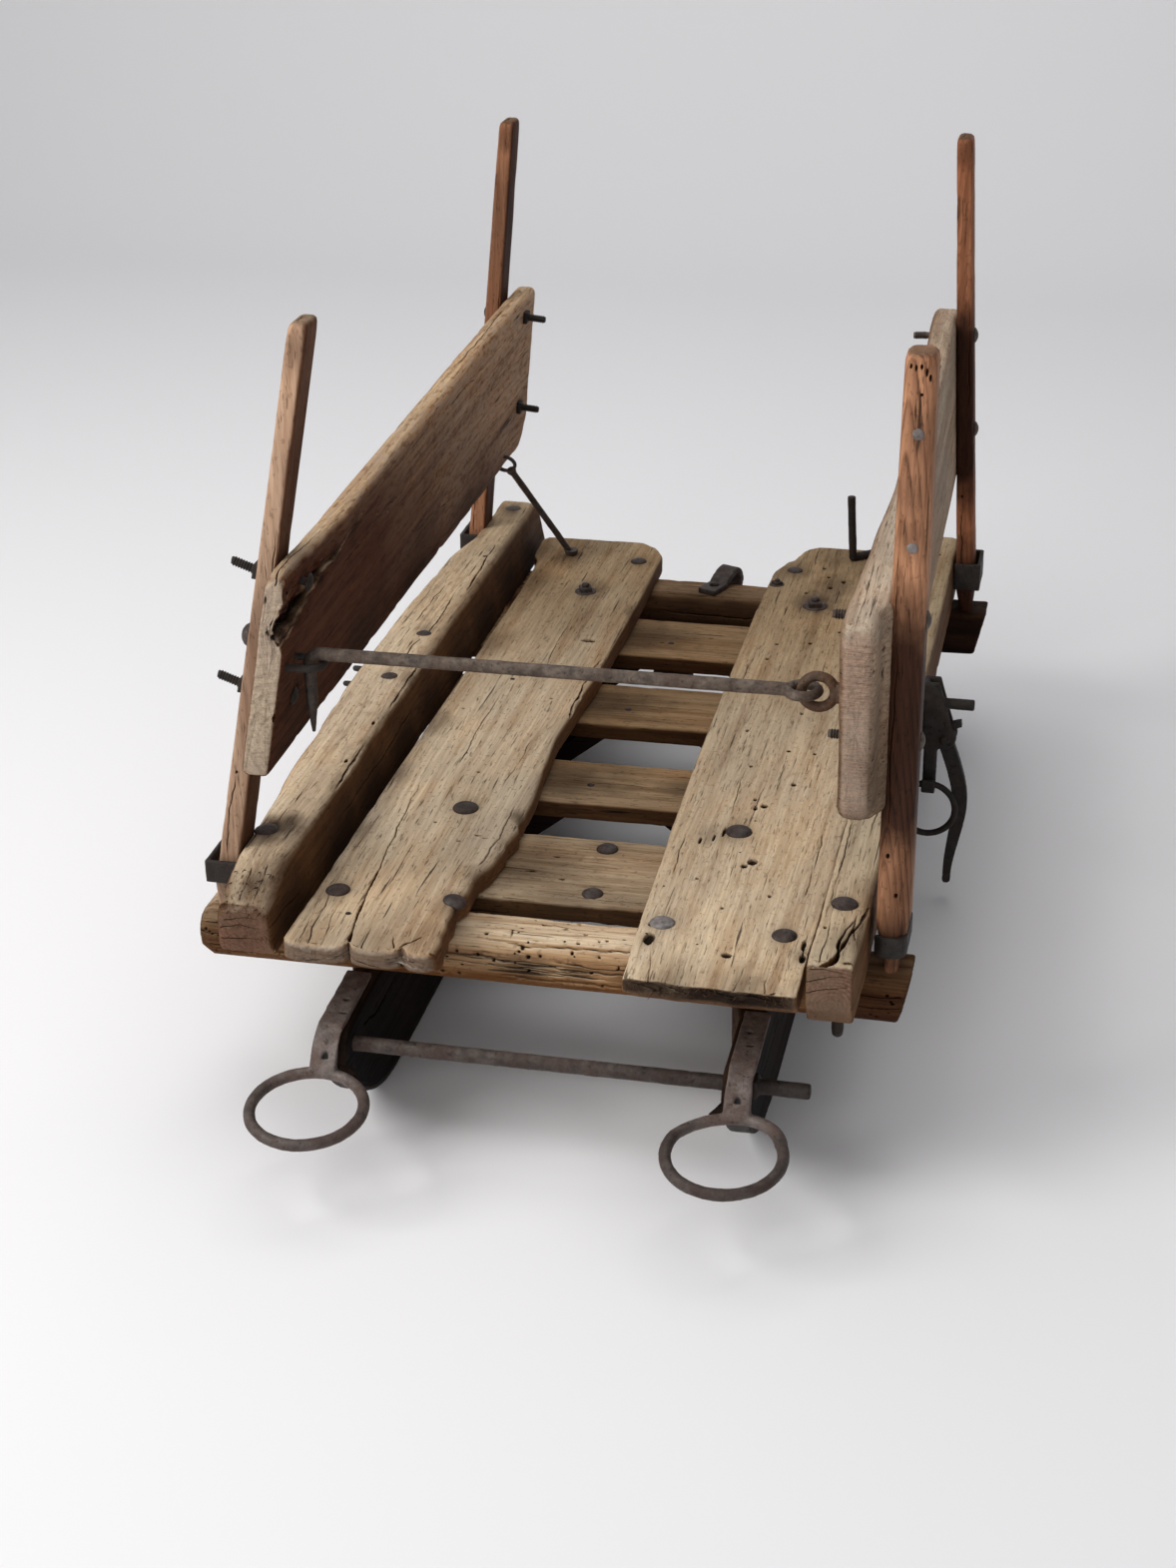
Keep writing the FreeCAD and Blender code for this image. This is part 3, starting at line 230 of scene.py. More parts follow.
def section_ring(left, right, low, high, radii, wide_steps, high_steps):
    """Points round a board's section, from its lower left corner, anticlockwise."""
    half = min(right - left, high - low) / 2 - 0.05
    radii = [min(r, half) for r in radii]
    corners = [(left, low, 1, 1), (right, low, -1, 1), (right, high, -1, -1), (left, high, 1, -1)]
    turns = (math.pi, 1.5 * math.pi, 0.0, 0.5 * math.pi)
    ring = []
    for number, (x, y, sx, sy) in enumerate(corners):
        r = radii[number]
        for step in range(4):
            turn = turns[number] + step * math.pi / 6
            ring.append((x + sx * r + r * math.cos(turn), y + sy * r + r * math.sin(turn)))
        nx, ny, nsx, nsy = corners[(number + 1) % 4]
        nr = radii[(number + 1) % 4]
        nturn = turns[(number + 1) % 4]
        end = (nx + nsx * nr + nr * math.cos(nturn), ny + nsy * nr + nr * math.sin(nturn))
        start = ring[-1]
        steps = wide_steps if number % 2 == 0 else high_steps
        for step in range(1, steps):
            share = step / steps
            ring.append((start[0] + (end[0] - start[0]) * share, start[1] + (end[1] - start[1]) * share))
    return ring


def board_rings(stations, section, across, end_round):
    """Rings of points along a board, with rounded ends."""
    sizes = [section(s) for s in stations]
    wide_steps = max(2, round(max(s[1] - s[0] for s in sizes) / across))
    high_steps = max(2, round(max(s[3] - s[2] for s in sizes) / across))
    places = []
    for turn in (90, 60, 30):
        turn = math.radians(turn)
        places.append((stations[0] + end_round * (1 - math.sin(turn)), end_round * (1 - math.cos(turn)),
                       stations[0]))
    places += [(s, 0.0, s) for s in stations if stations[0] + end_round <= s <= stations[-1] - end_round]
    for turn in (30, 60, 90):
        turn = math.radians(turn)
        places.append((stations[-1] - end_round * (1 - math.sin(turn)), end_round * (1 - math.cos(turn)),
                       stations[-1]))
    rings = []
    for s, inset, where in places:
        left, right, low, high, radii = section(s)
        inset = min(inset, (right - left) / 2 - 0.3, (high - low) / 2 - 0.3)
        ring = section_ring(left + inset, right - inset, low + inset, high - inset,
                            [max(r - inset, 0.3) for r in radii], wide_steps, high_steps)
        rings.append(np.array([(s, y, z) for y, z in ring]))
    return rings


def cap_rings(ring):
    """Rings that close a board's end, each smaller than the last."""
    centre = ring.mean(axis=0)
    return [centre + (ring - centre) * shrink for shrink in (0.8, 0.6, 0.4, 0.2)]


def board_mesh(stations, section, across, end_round):
    rings = board_rings(stations, section, across, end_round)
    rings = cap_rings(rings[0])[::-1] + rings + cap_rings(rings[-1])
    count = len(rings[0])
    points = np.concatenate(rings + [rings[0].mean(axis=0)[None], rings[-1].mean(axis=0)[None]])
    faces = []
    for i in range(len(rings) - 1):
        for j in range(count):
            k = (j + 1) % count
            faces.append((i * count + j, i * count + k, (i + 1) * count + k, (i + 1) * count + j))
    first = len(rings) * count
    last = (len(rings) - 1) * count
    for j in range(count):
        k = (j + 1) % count
        faces.append((first, k, j))
        faces.append((first + 1, last + j, last + k))
    mesh = bpy.data.meshes.new("board")
    mesh.from_pydata([tuple(p) for p in points], [], faces)
    bm = bmesh.new()
    bm.from_mesh(mesh)
    bpy.data.meshes.remove(mesh)
    bm.normal_update()
    return bm


def vertex_arrays(bm):
    points = np.array([v.co for v in bm.verts])
    normals = np.array([v.normal for v in bm.verts])
    return points, normals


def refine(bm, features, seed, levels):
    """Split the faces beside cracks and holes until they are fine enough to show them."""
    for level in range(levels):
        faces = list(bm.faces)
        centres = np.array([f.calc_center_median() for f in faces])
        normals = np.array([f.normal for f in faces])
        picked = np.zeros(len(faces), bool)
        for number, feature in enumerate(features):
            picked |= feature.measure(centres, normals, seed + number * 17)[1] < 3.6 / 2 ** level + 0.5
        edges = {e for f, use in zip(faces, picked) if use for e in f.edges}
        if not edges:
            return
        bmesh.ops.subdivide_edges(bm, edges=list(edges), cuts=1, use_grid_fill=True)
        bm.normal_update()


def edge_share(points, section):
    """How near each point is to a long edge of its board, from 0 to 1."""
    sizes = np.array([section(s)[:4] for s in points[:, 0]])
    side = np.minimum(np.abs(points[:, 1] - sizes[:, 0]), np.abs(points[:, 1] - sizes[:, 1]))
    flat = np.minimum(np.abs(points[:, 2] - sizes[:, 2]), np.abs(points[:, 2] - sizes[:, 3]))
    return np.clip(1 - np.maximum(side, flat) / 7.0, 0, 1)


# A board's fine relief, its swells and the chips at its edges: along the grain, across it and through
RELIEF_SCALE = 1 / np.array([90.0, 9.0, 9.0])
SWELL_SCALE = 1 / np.array([170.0, 55.0, 55.0])
CHIP_SCALE = 1 / np.array([22.0, 9.0, 9.0])
END_GRAIN = 3.5
STAIN_AND_SHADE_STRETCH = np.array([1.5, 1.0, 1.0])


def board(name, node, material, stations, section, place, seed, features, stains_and_shade, across, end_round,
          chips=1.6, relief=0.35, swell=0.7, levels=3, bend=None, rough_end=0.6):
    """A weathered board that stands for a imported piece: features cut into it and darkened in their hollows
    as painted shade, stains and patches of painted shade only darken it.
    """
    bm = board_mesh(stations, section, across, end_round)
    refine(bm, features, seed, levels)
    points, normals = vertex_arrays(bm)
    edge = edge_share(points, section)
    end = np.clip((np.abs(normals[:, 0]) - 0.6) / 0.3, 0, 1)
    push = layered_noise(points * RELIEF_SCALE, seed) * relief
    push += layered_noise(points * SWELL_SCALE, seed + 11) * swell
    chip = np.clip(layered_noise(points * CHIP_SCALE, seed + 23) - 0.05, 0, 1)
    push -= chip * edge * chips * 1.8
    push -= end * np.abs(layered_noise(points / END_GRAIN, seed + 31)) * rough_end
    groove = np.zeros(len(points))
    for number, feature in enumerate(features):
        strength = feature.measure(points, normals, seed + number * 17)[0]
        push -= strength * feature.depth
        groove = np.maximum(groove, strength)
    stain_and_shade = np.zeros(len(points))
    for x, y, z, reach, amount in stains_and_shade:
        gap = np.linalg.norm((points - np.array([x, y, z])) / STAIN_AND_SHADE_STRETCH, axis=1)
        ragged = 1 + 0.4 * layered_noise(points / 12.0, seed + 41)
        stain_and_shade = np.maximum(stain_and_shade, np.clip(1.4 - gap / (reach * ragged), 0, 1) * amount)
    moved = points + normals * push[:, None]
    if bend:
        moved = bend(moved)
    world = to_frame(place(moved))
    for vert, co in zip(bm.verts, world):
        vert.co = co
    layer = bm.verts.layers.float_color.new("wear_and_shade")
    for vert, values in zip(bm.verts, np.stack([groove, edge, end, stain_and_shade], axis=1)):
        vert[layer] = values
    if bm.calc_volume(signed=True) < 0:
        bmesh.ops.reverse_faces(bm, faces=list(bm.faces))
    bmesh.ops.triangulate(bm, faces=[f for f in bm.faces if len(f.verts) > 4])
    for face in bm.faces:
        face.smooth = True
    mesh = bpy.data.meshes.new(name)
    bm.to_mesh(mesh)
    bm.free()
    piece = add_object(name, mesh)
    piece.data.materials.append(material)
    return hand_in(piece, "sled", node)


def along(start, end, step, extra=()):
    """Even stations from start to end, with more close to both ends."""
    count = max(2, round((end - start) / step))
    places = set(np.linspace(start, end, count + 1))
    for gap in (1.0, 3.0, 6.0, 10.0):
        places.add(start + gap)
        places.add(end - gap)
    places.update(extra)
    return sorted(places)


def follow(points):
    """A smooth line through a few (place, value) pairs."""
    xs = np.array([p[0] for p in points], float)
    ys = np.array([p[1] for p in points], float)

    def value(s):
        s = np.clip(s, xs[0], xs[-1])
        i = int(np.clip(np.searchsorted(xs, s) - 1, 0, len(xs) - 2))
        share = (s - xs[i]) / (xs[i + 1] - xs[i])
        share = share * share * (3 - 2 * share) * 0.5 + share * 0.5
        return ys[i] + (ys[i + 1] - ys[i]) * share

    return value


def grain_y(points):
    """Board space to sled space for boards that run front to back."""
    return points[:, [1, 0, 2]]


def grain_x(points):
    return points


# Materials

class Finish:
    """A node material under construction."""

    def __init__(self, name):
        self.material = bpy.data.materials.new(name)
        self.material.use_nodes = True
        self.tree = self.material.node_tree
        self.tree.nodes.clear()
        self.output = self.tree.nodes.new("ShaderNodeOutputMaterial")
        self.shader = self.tree.nodes.new("ShaderNodeBsdfPrincipled")
        self.link(self.shader.outputs["BSDF"], self.output.inputs["Surface"])

    def link(self, source, target):
        self.tree.links.new(source, target)

    def put(self, socket, value):
        if isinstance(value, bpy.types.NodeSocket):
            self.link(value, socket)
        else:
            socket.default_value = value

    def node(self, kind, inputs=None, **settings):
        made = self.tree.nodes.new(kind)
        for key, value in settings.items():
            setattr(made, key, value)
        for key, value in (inputs or {}).items():
            self.put(made.inputs[key], value)
        return made

    def math(self, operation, a, b=0.0):
        return self.node("ShaderNodeMath", {0: a, 1: b}, operation=operation).outputs[0]

    def times(self, a, b):
        return self.math("MULTIPLY", a, b)

    def plus(self, a, b):
        return self.math("ADD", a, b)

    def minus(self, a, b):
        return self.math("SUBTRACT", a, b)

    def remap(self, value, low, high, to_low=0.0, to_high=1.0):
        made = self.node("ShaderNodeMapRange", {"Value": value, "From Min": low, "From Max": high,
                                                "To Min": to_low, "To Max": to_high}, clamp=True)
        return made.outputs[0]

    def mix(self, factor, a, b, blend="MIX"):
        made = self.node("ShaderNodeMix", data_type="RGBA", blend_type=blend)
        self.put(made.inputs[0], factor)
        self.put(made.inputs[6], a)
        self.put(made.inputs[7], b)
        return made.outputs[2]

    def tint(self, base, tint):
        """A colour multiplied by red, green and blue."""
        return self.mix(1.0, base, (*tint, 1.0), "MULTIPLY")

    def tint_where(self, factor, base, tint):
        return self.mix(factor, base, self.tint(base, tint))

    def mapping(self, vector, scale, turn=(0, 0, 0), place=(0, 0, 0)):
        made = self.node("ShaderNodeMapping", {"Vector": vector, "Scale": scale, "Rotation": turn,
                                               "Location": place})
        return made.outputs[0]

    def noise(self, vector, scale, detail=3.0, rough=0.55):
        made = self.node("ShaderNodeTexNoise", {"Vector": vector, "Scale": scale, "Detail": detail,
                                                "Roughness": rough})
        return made.outputs[0]

    def bump(self, height, strength, distance):
        made = self.node("ShaderNodeBump", {"Height": height, "Strength": strength, "Distance": distance})
        return made.outputs[0]


def colour(red, green, blue):
    """A colour given as it looks on a screen, 0 to 255, as linear light."""
    linear = []
    for value in (red, green, blue):
        v = value / 255
        linear.append(v / 12.92 if v <= 0.04045 else ((v + 0.055) / 1.055) ** 2.4)
    return (*linear, 1.0)


WOODS = {}
# How a pattern is turned so that its X runs along the grain
GRAIN_TURN = {"X": (0, 0, 0), "Y": (0, 0, math.pi / 2), "Z": (0, math.pi / 2, 0)}


def make_wood(name, light, dark, grey, top, end, grain, seed, ring_gap, heart, figure, grey_share, top_share,
              fibre=0.5, worm=0.0, rough=0.82, shade=None, shade_from=None, streaks=0.7, dents=0.5, darkening=None,
              darkening_from=None, darkening_up=1.0, saw_marks=0.0, ring_lean=0.03, scuffs=0.0, cool=1.04):
    """Bare weathered wood whose grain runs along one axis, darker on the faces that look one way: painted
    shade, partly the wood's own darker sides.
    """
    f = Finish("wood_" + name)
    light, dark, grey, top, end = (colour(*tone) for tone in (light, dark, grey, top, end))
    where = f.node("ShaderNodeTexCoord")
    local = f.mapping(where.outputs["Object"], (1, 1, 1), GRAIN_TURN[grain],
                      (seed * 0.731, seed * 0.377, seed * 0.553))
    # The grain wanders a little
    shift = f.node("ShaderNodeCombineXYZ")
    wander = 0.009
    f.put(shift.inputs[1], f.remap(f.noise(f.mapping(local, (2.2, 9, 9)), 1.0, 2.0), 0, 1, -wander, wander))
    f.put(shift.inputs[2], f.remap(f.noise(f.mapping(local, (1.6, 7, 7), place=(3, 1, 2)), 1.0, 2.0), 0, 1,
                                   -wander, wander))
    bent = f.node("ShaderNodeVectorMath", {0: local, 1: shift.outputs[0]}, operation="ADD").outputs[0]
    plain = f.mapping(where.outputs["Object"], (1, 1, 1), GRAIN_TURN[grain])
    swept = f.node("ShaderNodeVectorMath", {0: plain, 1: shift.outputs[0]}, operation="ADD").outputs[0]
    # Growth rings: shells round a heart line that lies off the board
    parts = f.node("ShaderNodeSeparateXYZ", {0: swept})
    off_y = f.plus(parts.outputs[1], heart[0] * MM)
    off_z = f.plus(parts.outputs[2], heart[1] * MM)
    reach = f.math("SQRT", f.plus(f.times(off_y, off_y), f.times(off_z, off_z)))
    lean = f.times(parts.outputs[0], ring_lean)
    shell = f.times(f.plus(reach, lean), 1 / (ring_gap * MM))
    step = f.math("FRACT", shell)
    ring = f.times(f.remap(f.times(step, step), 0.1, 0.8), f.remap(step, 1.0, 0.84))
    ring = f.times(ring, f.remap(f.noise(f.mapping(local, (6, 40, 40)), 1.0, 2.0), 0.3, 0.62))
    # Streaks, fibres, pores and fine checks run with the grain
    streak = f.noise(f.mapping(bent, (3, 75, 75)), 1.0, 4.0, 0.62)
    fine = f.noise(f.mapping(bent, (16, 420, 420)), 1.0, 3.0, 0.65)
    pore = f.remap(f.noise(f.mapping(bent, (55, 700, 700), place=(5, 2, 8)), 1.0, 1.0, 0.5), 0.645, 0.73)
    check = f.remap(f.noise(f.mapping(bent, (9, 240, 240), place=(1, 7, 3)), 1.0, 3.0, 0.6), 0.652, 0.7)
    blotch = f.noise(f.mapping(local, (6, 15, 15), place=(9, 4, 6)), 1.0, 4.0, 0.62)
    cloud = f.noise(f.mapping(local, (2.4, 6, 6), place=(2, 8, 1)), 1.0, 3.0, 0.55)
    speck = f.noise(f.mapping(local, (170, 260, 260), place=(4, 4, 7)), 1.0, 2.0, 0.6)
    base = f.mix(f.times(ring, figure), light, dark)
    base = f.mix(f.remap(streak, 0.42, 0.7, 0.0, streaks), base, dark)
    base = f.mix(f.times(f.remap(blotch, 0.42, 0.64), grey_share), base, grey)
    facing = f.node("ShaderNodeSeparateXYZ", {0: where.outputs["Normal"]})
    up = facing.outputs[2]
    base = f.mix(f.times(f.remap(up, 0.45, 0.9), top_share), base,
                 f.mix(f.remap(streak, 0.35, 0.62), top, base))
    base = f.tint_where(f.remap(fine, 0.38, 0.72, 0.0, fibre), base, (0.46, 0.38, 0.3))
    base = f.tint_where(f.remap(fine, 0.42, 0.22, 0.0, fibre * 0.5), base, (1.25, 1.23, 1.2))
    base = f.tint_where(f.remap(cloud, 0.5, 0.72, 0.0, 0.45), base, (0.66, 0.56, 0.47))
    base = f.tint_where(f.remap(blotch, 0.52, 0.3, 0.0, 0.35), base, (1.07, 0.93, 0.82))
    base = f.tint_where(f.times(f.remap(speck, 0.6, 0.68), 0.5), base, (0.4, 0.35, 0.32))
    base = f.mix(f.times(pore, 0.6), base, colour(62, 40, 24))
    base = f.mix(f.times(check, 0.85), base, colour(44, 28, 16))
    if scuffs:
        # Short scuffs and rubbed spots
        scuff = f.noise(f.mapping(bent, (60, 190, 190), place=(7, 3, 9)), 1.0, 3.0, 0.6)
        base = f.mix(f.remap(scuff, 0.53, 0.62, 0.0, scuffs), base, grey)
        base = f.tint_where(f.remap(scuff, 0.45, 0.37, 0.0, scuffs), base, (0.42, 0.31, 0.26))
    height = f.plus(f.times(fine, 0.7), f.times(streak, 0.7))
    height = f.minus(height, f.times(ring, 0.18))
    height = f.minus(height, f.times(pore, 0.4))
    height = f.minus(height, f.times(check, 1.1))
    height = f.plus(height, f.times(blotch, dents))
    if worm:
        cells = f.node("ShaderNodeTexVoronoi", {"Vector": local, "Scale": 95.0, "Randomness": 1.0})
        hole = f.remap(cells.outputs["Distance"], 0.085, 0.12, 1.0, 0.0)
        picked = f.node("ShaderNodeSeparateColor", {0: cells.outputs["Color"]}).outputs[0]
        patch = f.remap(f.noise(local, 9.0, 2.0), 0.42, 0.62, 0.02, worm)
        hole = f.times(hole, f.math("LESS_THAN", picked, patch))
        # Painted shade, with the dirt in them: wormholes are darkened almost to black
        base = f.mix(hole, base, colour(24, 16, 11))
        height = f.minus(height, f.times(hole, 1.6))
    wear_and_shade = f.node("ShaderNodeAttribute", attribute_name="wear_and_shade")
    marks = f.node("ShaderNodeSeparateColor", {0: wear_and_shade.outputs["Color"]})
    groove, edge, cut_end = marks.outputs[0], marks.outputs[1], marks.outputs[2]
    # Across a cut end the rings show as arcs and the wood is darker and rough
    spots = f.noise(f.mapping(local, (300, 300, 300)), 1.0, 2.0, 0.6)
    end_wood = f.tint_where(f.remap(ring, 0.1, 0.9, 0.0, 0.75), end, (0.42, 0.37, 0.34))
    end_wood = f.mix(f.remap(spots, 0.4, 0.72, 0.0, 0.7), end_wood, f.tint(end, (0.42, 0.38, 0.35)))
    end_wood = f.mix(f.remap(blotch, 0.45, 0.62, 0.0, 0.6), end_wood, grey)
    base = f.mix(cut_end, base, end_wood)
    rub = f.times(edge, f.remap(f.noise(f.mapping(local, (25, 60, 60)), 1.0, 3.0), 0.42, 0.62))
    base = f.mix(f.times(rub, 0.35), base, light)
    if saw_marks:
        # Saw marks across a cut end
        lines = f.noise(f.mapping(local, (40, 90, 1400), (0.35, 0, 0)), 1.0, 2.0, 0.6)
        pale = f.tint(end, (1.3, 1.28, 1.26))
        base = f.mix(f.times(cut_end, f.remap(lines, 0.45, 0.62, 0.0, saw_marks)), base, pale)
    # Darker along one direction through the piece; on the runners' noses and the slats behind the front one
    # this is painted shade
    if darkening:
        way, low, high, amount = darkening_from
        place = f.node("ShaderNodeVectorMath", {0: where.outputs["Object"], 1: way},
                       operation="DOT_PRODUCT").outputs[1]
        place = f.plus(place, f.remap(cloud, 0.3, 0.7, -0.05, 0.05))
        share = f.times(f.remap(place, low, high, 0.0, amount), f.remap(up, 0.2, 0.8, 1.0, darkening_up))
        share = f.times(share, f.remap(cut_end, 0.1, 0.8, 1.0, 0.15 if saw_marks else 1.0))
        base = f.tint_where(share, base, darkening)
    # Painted shade, partly the wood's own darker sides: faces that look along one axis are multiplied by a
    # dark tone
    if shade:
        axis, sign, low, high, amount = shade_from
        turned = f.times(facing.outputs[axis], sign)
        uneven = f.plus(turned, f.remap(cloud, 0.3, 0.7, -0.12, 0.12))
        uneven = f.plus(uneven, f.remap(streak, 0.3, 0.7, -0.1, 0.1))
        share = f.times(f.remap(uneven, low, high, 0.0, amount), f.remap(cut_end, 0.0, 1.0, 1.0, 0.82))
        base = f.tint_where(share, base, shade)
    # Stains and patches of painted shade, listed for each board
    base = f.tint_where(f.times(wear_and_shade.outputs["Alpha"], 0.96), base, (0.08, 0.05, 0.035))
    # Painted shade, with the dirt in them: splits and holes are darkened almost to black
    base = f.mix(f.remap(groove, 0.1, 0.75, 0.0, 0.97), base, colour(20, 13, 9))
    base = f.tint(base, (0.965, 0.995, cool))
    f.link(base, f.shader.inputs["Base Color"])
    f.put(f.shader.inputs["Roughness"], f.remap(streak, 0.3, 0.7, rough - 0.08, min(rough + 0.1, 1.0)))
    f.put(f.shader.inputs["Specular IOR Level"], f.remap(groove, 0.02, 0.2, 0.16, 0.0))
    height = f.plus(height, f.times(f.times(cut_end, spots), 0.9))
    f.link(f.bump(height, 0.75, 0.0012), f.shader.inputs["Normal"])
    WOODS[name] = f.material


def make_iron(name, base, worn, rust, rust_share, metal, rough, seed):
    """Forged iron, dark and handled, with rust in patches."""
    f = Finish("iron_" + name)
    base, worn, rust = (colour(*tone) for tone in (base, worn, rust))
    where = f.node("ShaderNodeTexCoord").outputs["Object"]
    local = f.mapping(where, (1, 1, 1), place=(seed * 0.41, seed * 0.73, seed * 0.29))
    patch = f.noise(local, 34.0, 5.0, 0.68)
    fine = f.noise(local, 420.0, 3.0, 0.6)
    scale = f.noise(local, 120.0, 4.0, 0.65)
    pit = f.remap(f.noise(local, 230.0, 2.0, 0.5), 0.62, 0.72)
    tone = f.mix(f.remap(scale, 0.36, 0.66), base, worn)
    rusty = f.tint_where(f.remap(fine, 0.35, 0.7), rust, (0.5, 0.42, 0.38))
    share = f.times(f.remap(f.plus(patch, f.times(fine, 0.25)), 0.54, 0.7), rust_share)
    tone = f.mix(share, tone, rusty)
    tone = f.tint_where(f.times(pit, 0.7), tone, (0.3, 0.26, 0.24))
    wear_and_shade = f.node("ShaderNodeAttribute", attribute_name="wear_and_shade")
    marks = f.node("ShaderNodeSeparateColor", {0: wear_and_shade.outputs["Color"]})
    tone = f.tint_where(marks.outputs[1], tone, (0.12, 0.09, 0.08))
    # Painted shade, with the dirt in them: sunk holes are darkened almost to black
    tone = f.mix(f.remap(marks.outputs[0], 0.15, 0.6, 0.0, 0.97), tone, colour(12, 9, 8))
    f.link(tone, f.shader.inputs["Base Color"])
    f.put(f.shader.inputs["Metallic"], f.times(f.minus(1.0, share), metal))
    f.put(f.shader.inputs["Roughness"], f.remap(f.plus(share, f.times(scale, 0.3)), 0.0, 1.0,
                                                rough - 0.06, 0.94))
    height = f.plus(f.times(scale, 0.8), f.times(fine, 0.5))
    height = f.plus(height, f.times(share, 0.35))
    height = f.minus(height, f.times(pit, 0.7))
    f.link(f.bump(height, 0.7, 0.0009), f.shader.inputs["Normal"])
    return f.material


# Painted shade, partly the wood's own old brown: faces that look sideways are darkened brown, the tops are
# bleached
SIDES = (2, -1, -0.72, -0.2, 1.0)
SHADE_BROWN = (0.32, 0.2, 0.12)
REAR_DARKENING = (0.56, 0.5, 0.41)
BACK = (0, 1, 0)
make_wood("deck_left", (236, 210, 174), (176, 138, 98), (192, 178, 158), (232, 212, 180), (206, 194, 180),
          "Y", 1, 3.4, (139.0, -100.0), 0.45, 0.5, 0.4, shade=SHADE_BROWN, shade_from=SIDES, darkening=REAR_DARKENING,
          darkening_from=(BACK, 0.05, 0.36, 0.95))
make_wood("deck_right", (230, 204, 168), (172, 136, 98), (188, 172, 150), (226, 204, 170), (80, 64, 52), "Y",
          2, 3.4, (-150.0, -110.0), 0.42, 0.45, 0.4, worm=0.1, scuffs=0.22, shade=SHADE_BROWN, shade_from=SIDES,
          darkening=REAR_DARKENING, darkening_from=(BACK, -0.06, 0.3, 0.95))
make_wood("rail", (226, 200, 166), (160, 122, 86), (178, 162, 142), (228, 206, 172), (196, 160, 140), "Y", 3,
          3.2, (292.0, -130.0), 0.5, 0.45, 0.5, scuffs=0.25, shade=(0.24, 0.14, 0.07),
          shade_from=(2, -1, -0.92, -0.4, 1.0), darkening=(0.74, 0.7, 0.62), darkening_from=(BACK, 0.0, 0.5, 0.8))
make_wood("rail_right", (216, 192, 158), (150, 118, 84), (168, 154, 134), (214, 194, 162), (196, 166, 148),
          "Y", 13, 3.4, (-246.0, -184.0), 0.5, 0.45, 0.5, shade=(0.27, 0.17, 0.1),
          shade_from=(2, -1, -0.82, -0.25, 1.0), darkening=(0.74, 0.7, 0.62), darkening_from=(BACK, -0.1, 0.4, 0.8))
# Painted shade: the slats behind the front one, under the deck, are darkened, and so are their sides
make_wood("bench", (206, 178, 142), (138, 104, 70), (166, 150, 126), (202, 178, 146), (112, 86, 62), "X", 4,
          5.0, (80.0, -60.0), 0.5, 0.4, 0.4, shade=(0.2, 0.13, 0.08), shade_from=SIDES, darkening=(0.6, 0.5, 0.38),
          darkening_from=(BACK, -0.2, 0.0, 0.95))
make_wood("beam", (198, 160, 116), (122, 76, 44), (176, 154, 126), (232, 210, 178), (90, 58, 36), "X", 5, 3.0,
          (400.0, -100.0), 0.6, 0.3, 0.9, worm=0.4, shade=(0.42, 0.27, 0.15),
          shade_from=(2, -1, -0.45, 0.35, 1.0), darkening=(0.2, 0.13, 0.08),
          darkening_from=((1, 0, 0), 0.14, 0.25, 0.95))
make_wood("beam_rear", (160, 122, 84), (84, 52, 30), (130, 108, 84), (166, 138, 106), (84, 58, 38), "X", 15,
          3.0, (400.0, -100.0), 0.75, 0.3, 0.6, streaks=0.9, shade=SHADE_BROWN, shade_from=(2, -1, -0.6, 0.2, 1.0),
          darkening=(0.14, 0.09, 0.06), darkening_from=((1, 0, 0), 0.04, 0.18, 1.0))
# Painted shade: the runners' right-facing sides and their noses are darkened almost to black
make_wood("runner", (104, 76, 54), (54, 34, 22), (86, 70, 56), (132, 106, 80), (90, 66, 48), "Y", 6, 6.0,
          (160.0, 60.0), 0.5, 0.35, 0.3, shade=(0.1, 0.065, 0.04), shade_from=(0, 1, -0.2, 0.5, 1.0),
          darkening=(0.2, 0.14, 0.1), darkening_from=(BACK, -0.32, -0.4, 0.9))
make_wood("side_left", (206, 168, 138), (112, 72, 48), (172, 150, 142), (206, 184, 156), (196, 176, 160), "Y",
          7, 9.0, (205.0, -340.0), 0.4, 0.5, 0.7, fibre=0.6, dents=1.1, darkening=(0.17, 0.055, 0.015),
          darkening_from=((0, 0.3, 1), 0.52, 0.36, 0.95), darkening_up=0.2, saw_marks=0.3, scuffs=0.6, cool=0.9)
make_wood("side_right", (198, 174, 148), (134, 104, 80), (162, 146, 128), (204, 186, 162), (156, 130, 110),
          "Y", 8, 5.0, (-250.0, -380.0), 0.5, 0.5, 0.6, shade=SHADE_BROWN, shade_from=(0, -1, 0.2, 0.8, 0.75),
          darkening=(0.55, 0.47, 0.4), darkening_from=((0, 0.1, 1), 0.42, 0.3, 0.9), saw_marks=0.9, scuffs=0.3)
make_wood("stake", (216, 178, 146), (156, 108, 78), (180, 152, 128), (184, 152, 124), (140, 114, 88), "Z", 9,
          3.6, (500.0, -150.0), 0.4, 0.3, 0.3, fibre=0.4, rough=0.7, shade=(0.26, 0.16, 0.11),
          shade_from=(0, 1, 0.25, 0.8, 1.0), darkening=(0.68, 0.68, 0.68), darkening_from=((0, 0, 1), 0.62, 0.46, 0.95))
make_wood("stake_rear", (176, 122, 88), (110, 68, 44), (144, 110, 84), (150, 116, 88), (120, 90, 66), "Z", 11,
          4.0, (-300.0, -100.0), 0.5, 0.3, 0.3, fibre=0.45, rough=0.7, shade=(0.26, 0.17, 0.12),
          shade_from=(0, 1, 0.25, 0.8, 1.0))
make_wood("stake_red", (182, 118, 82), (104, 58, 36), (142, 104, 78), (150, 112, 84), (110, 80, 58), "Z", 12,
          4.4, (-440.0, 262.0), 0.6, 0.25, 0.3, fibre=0.45, rough=0.68, ring_lean=0.08)
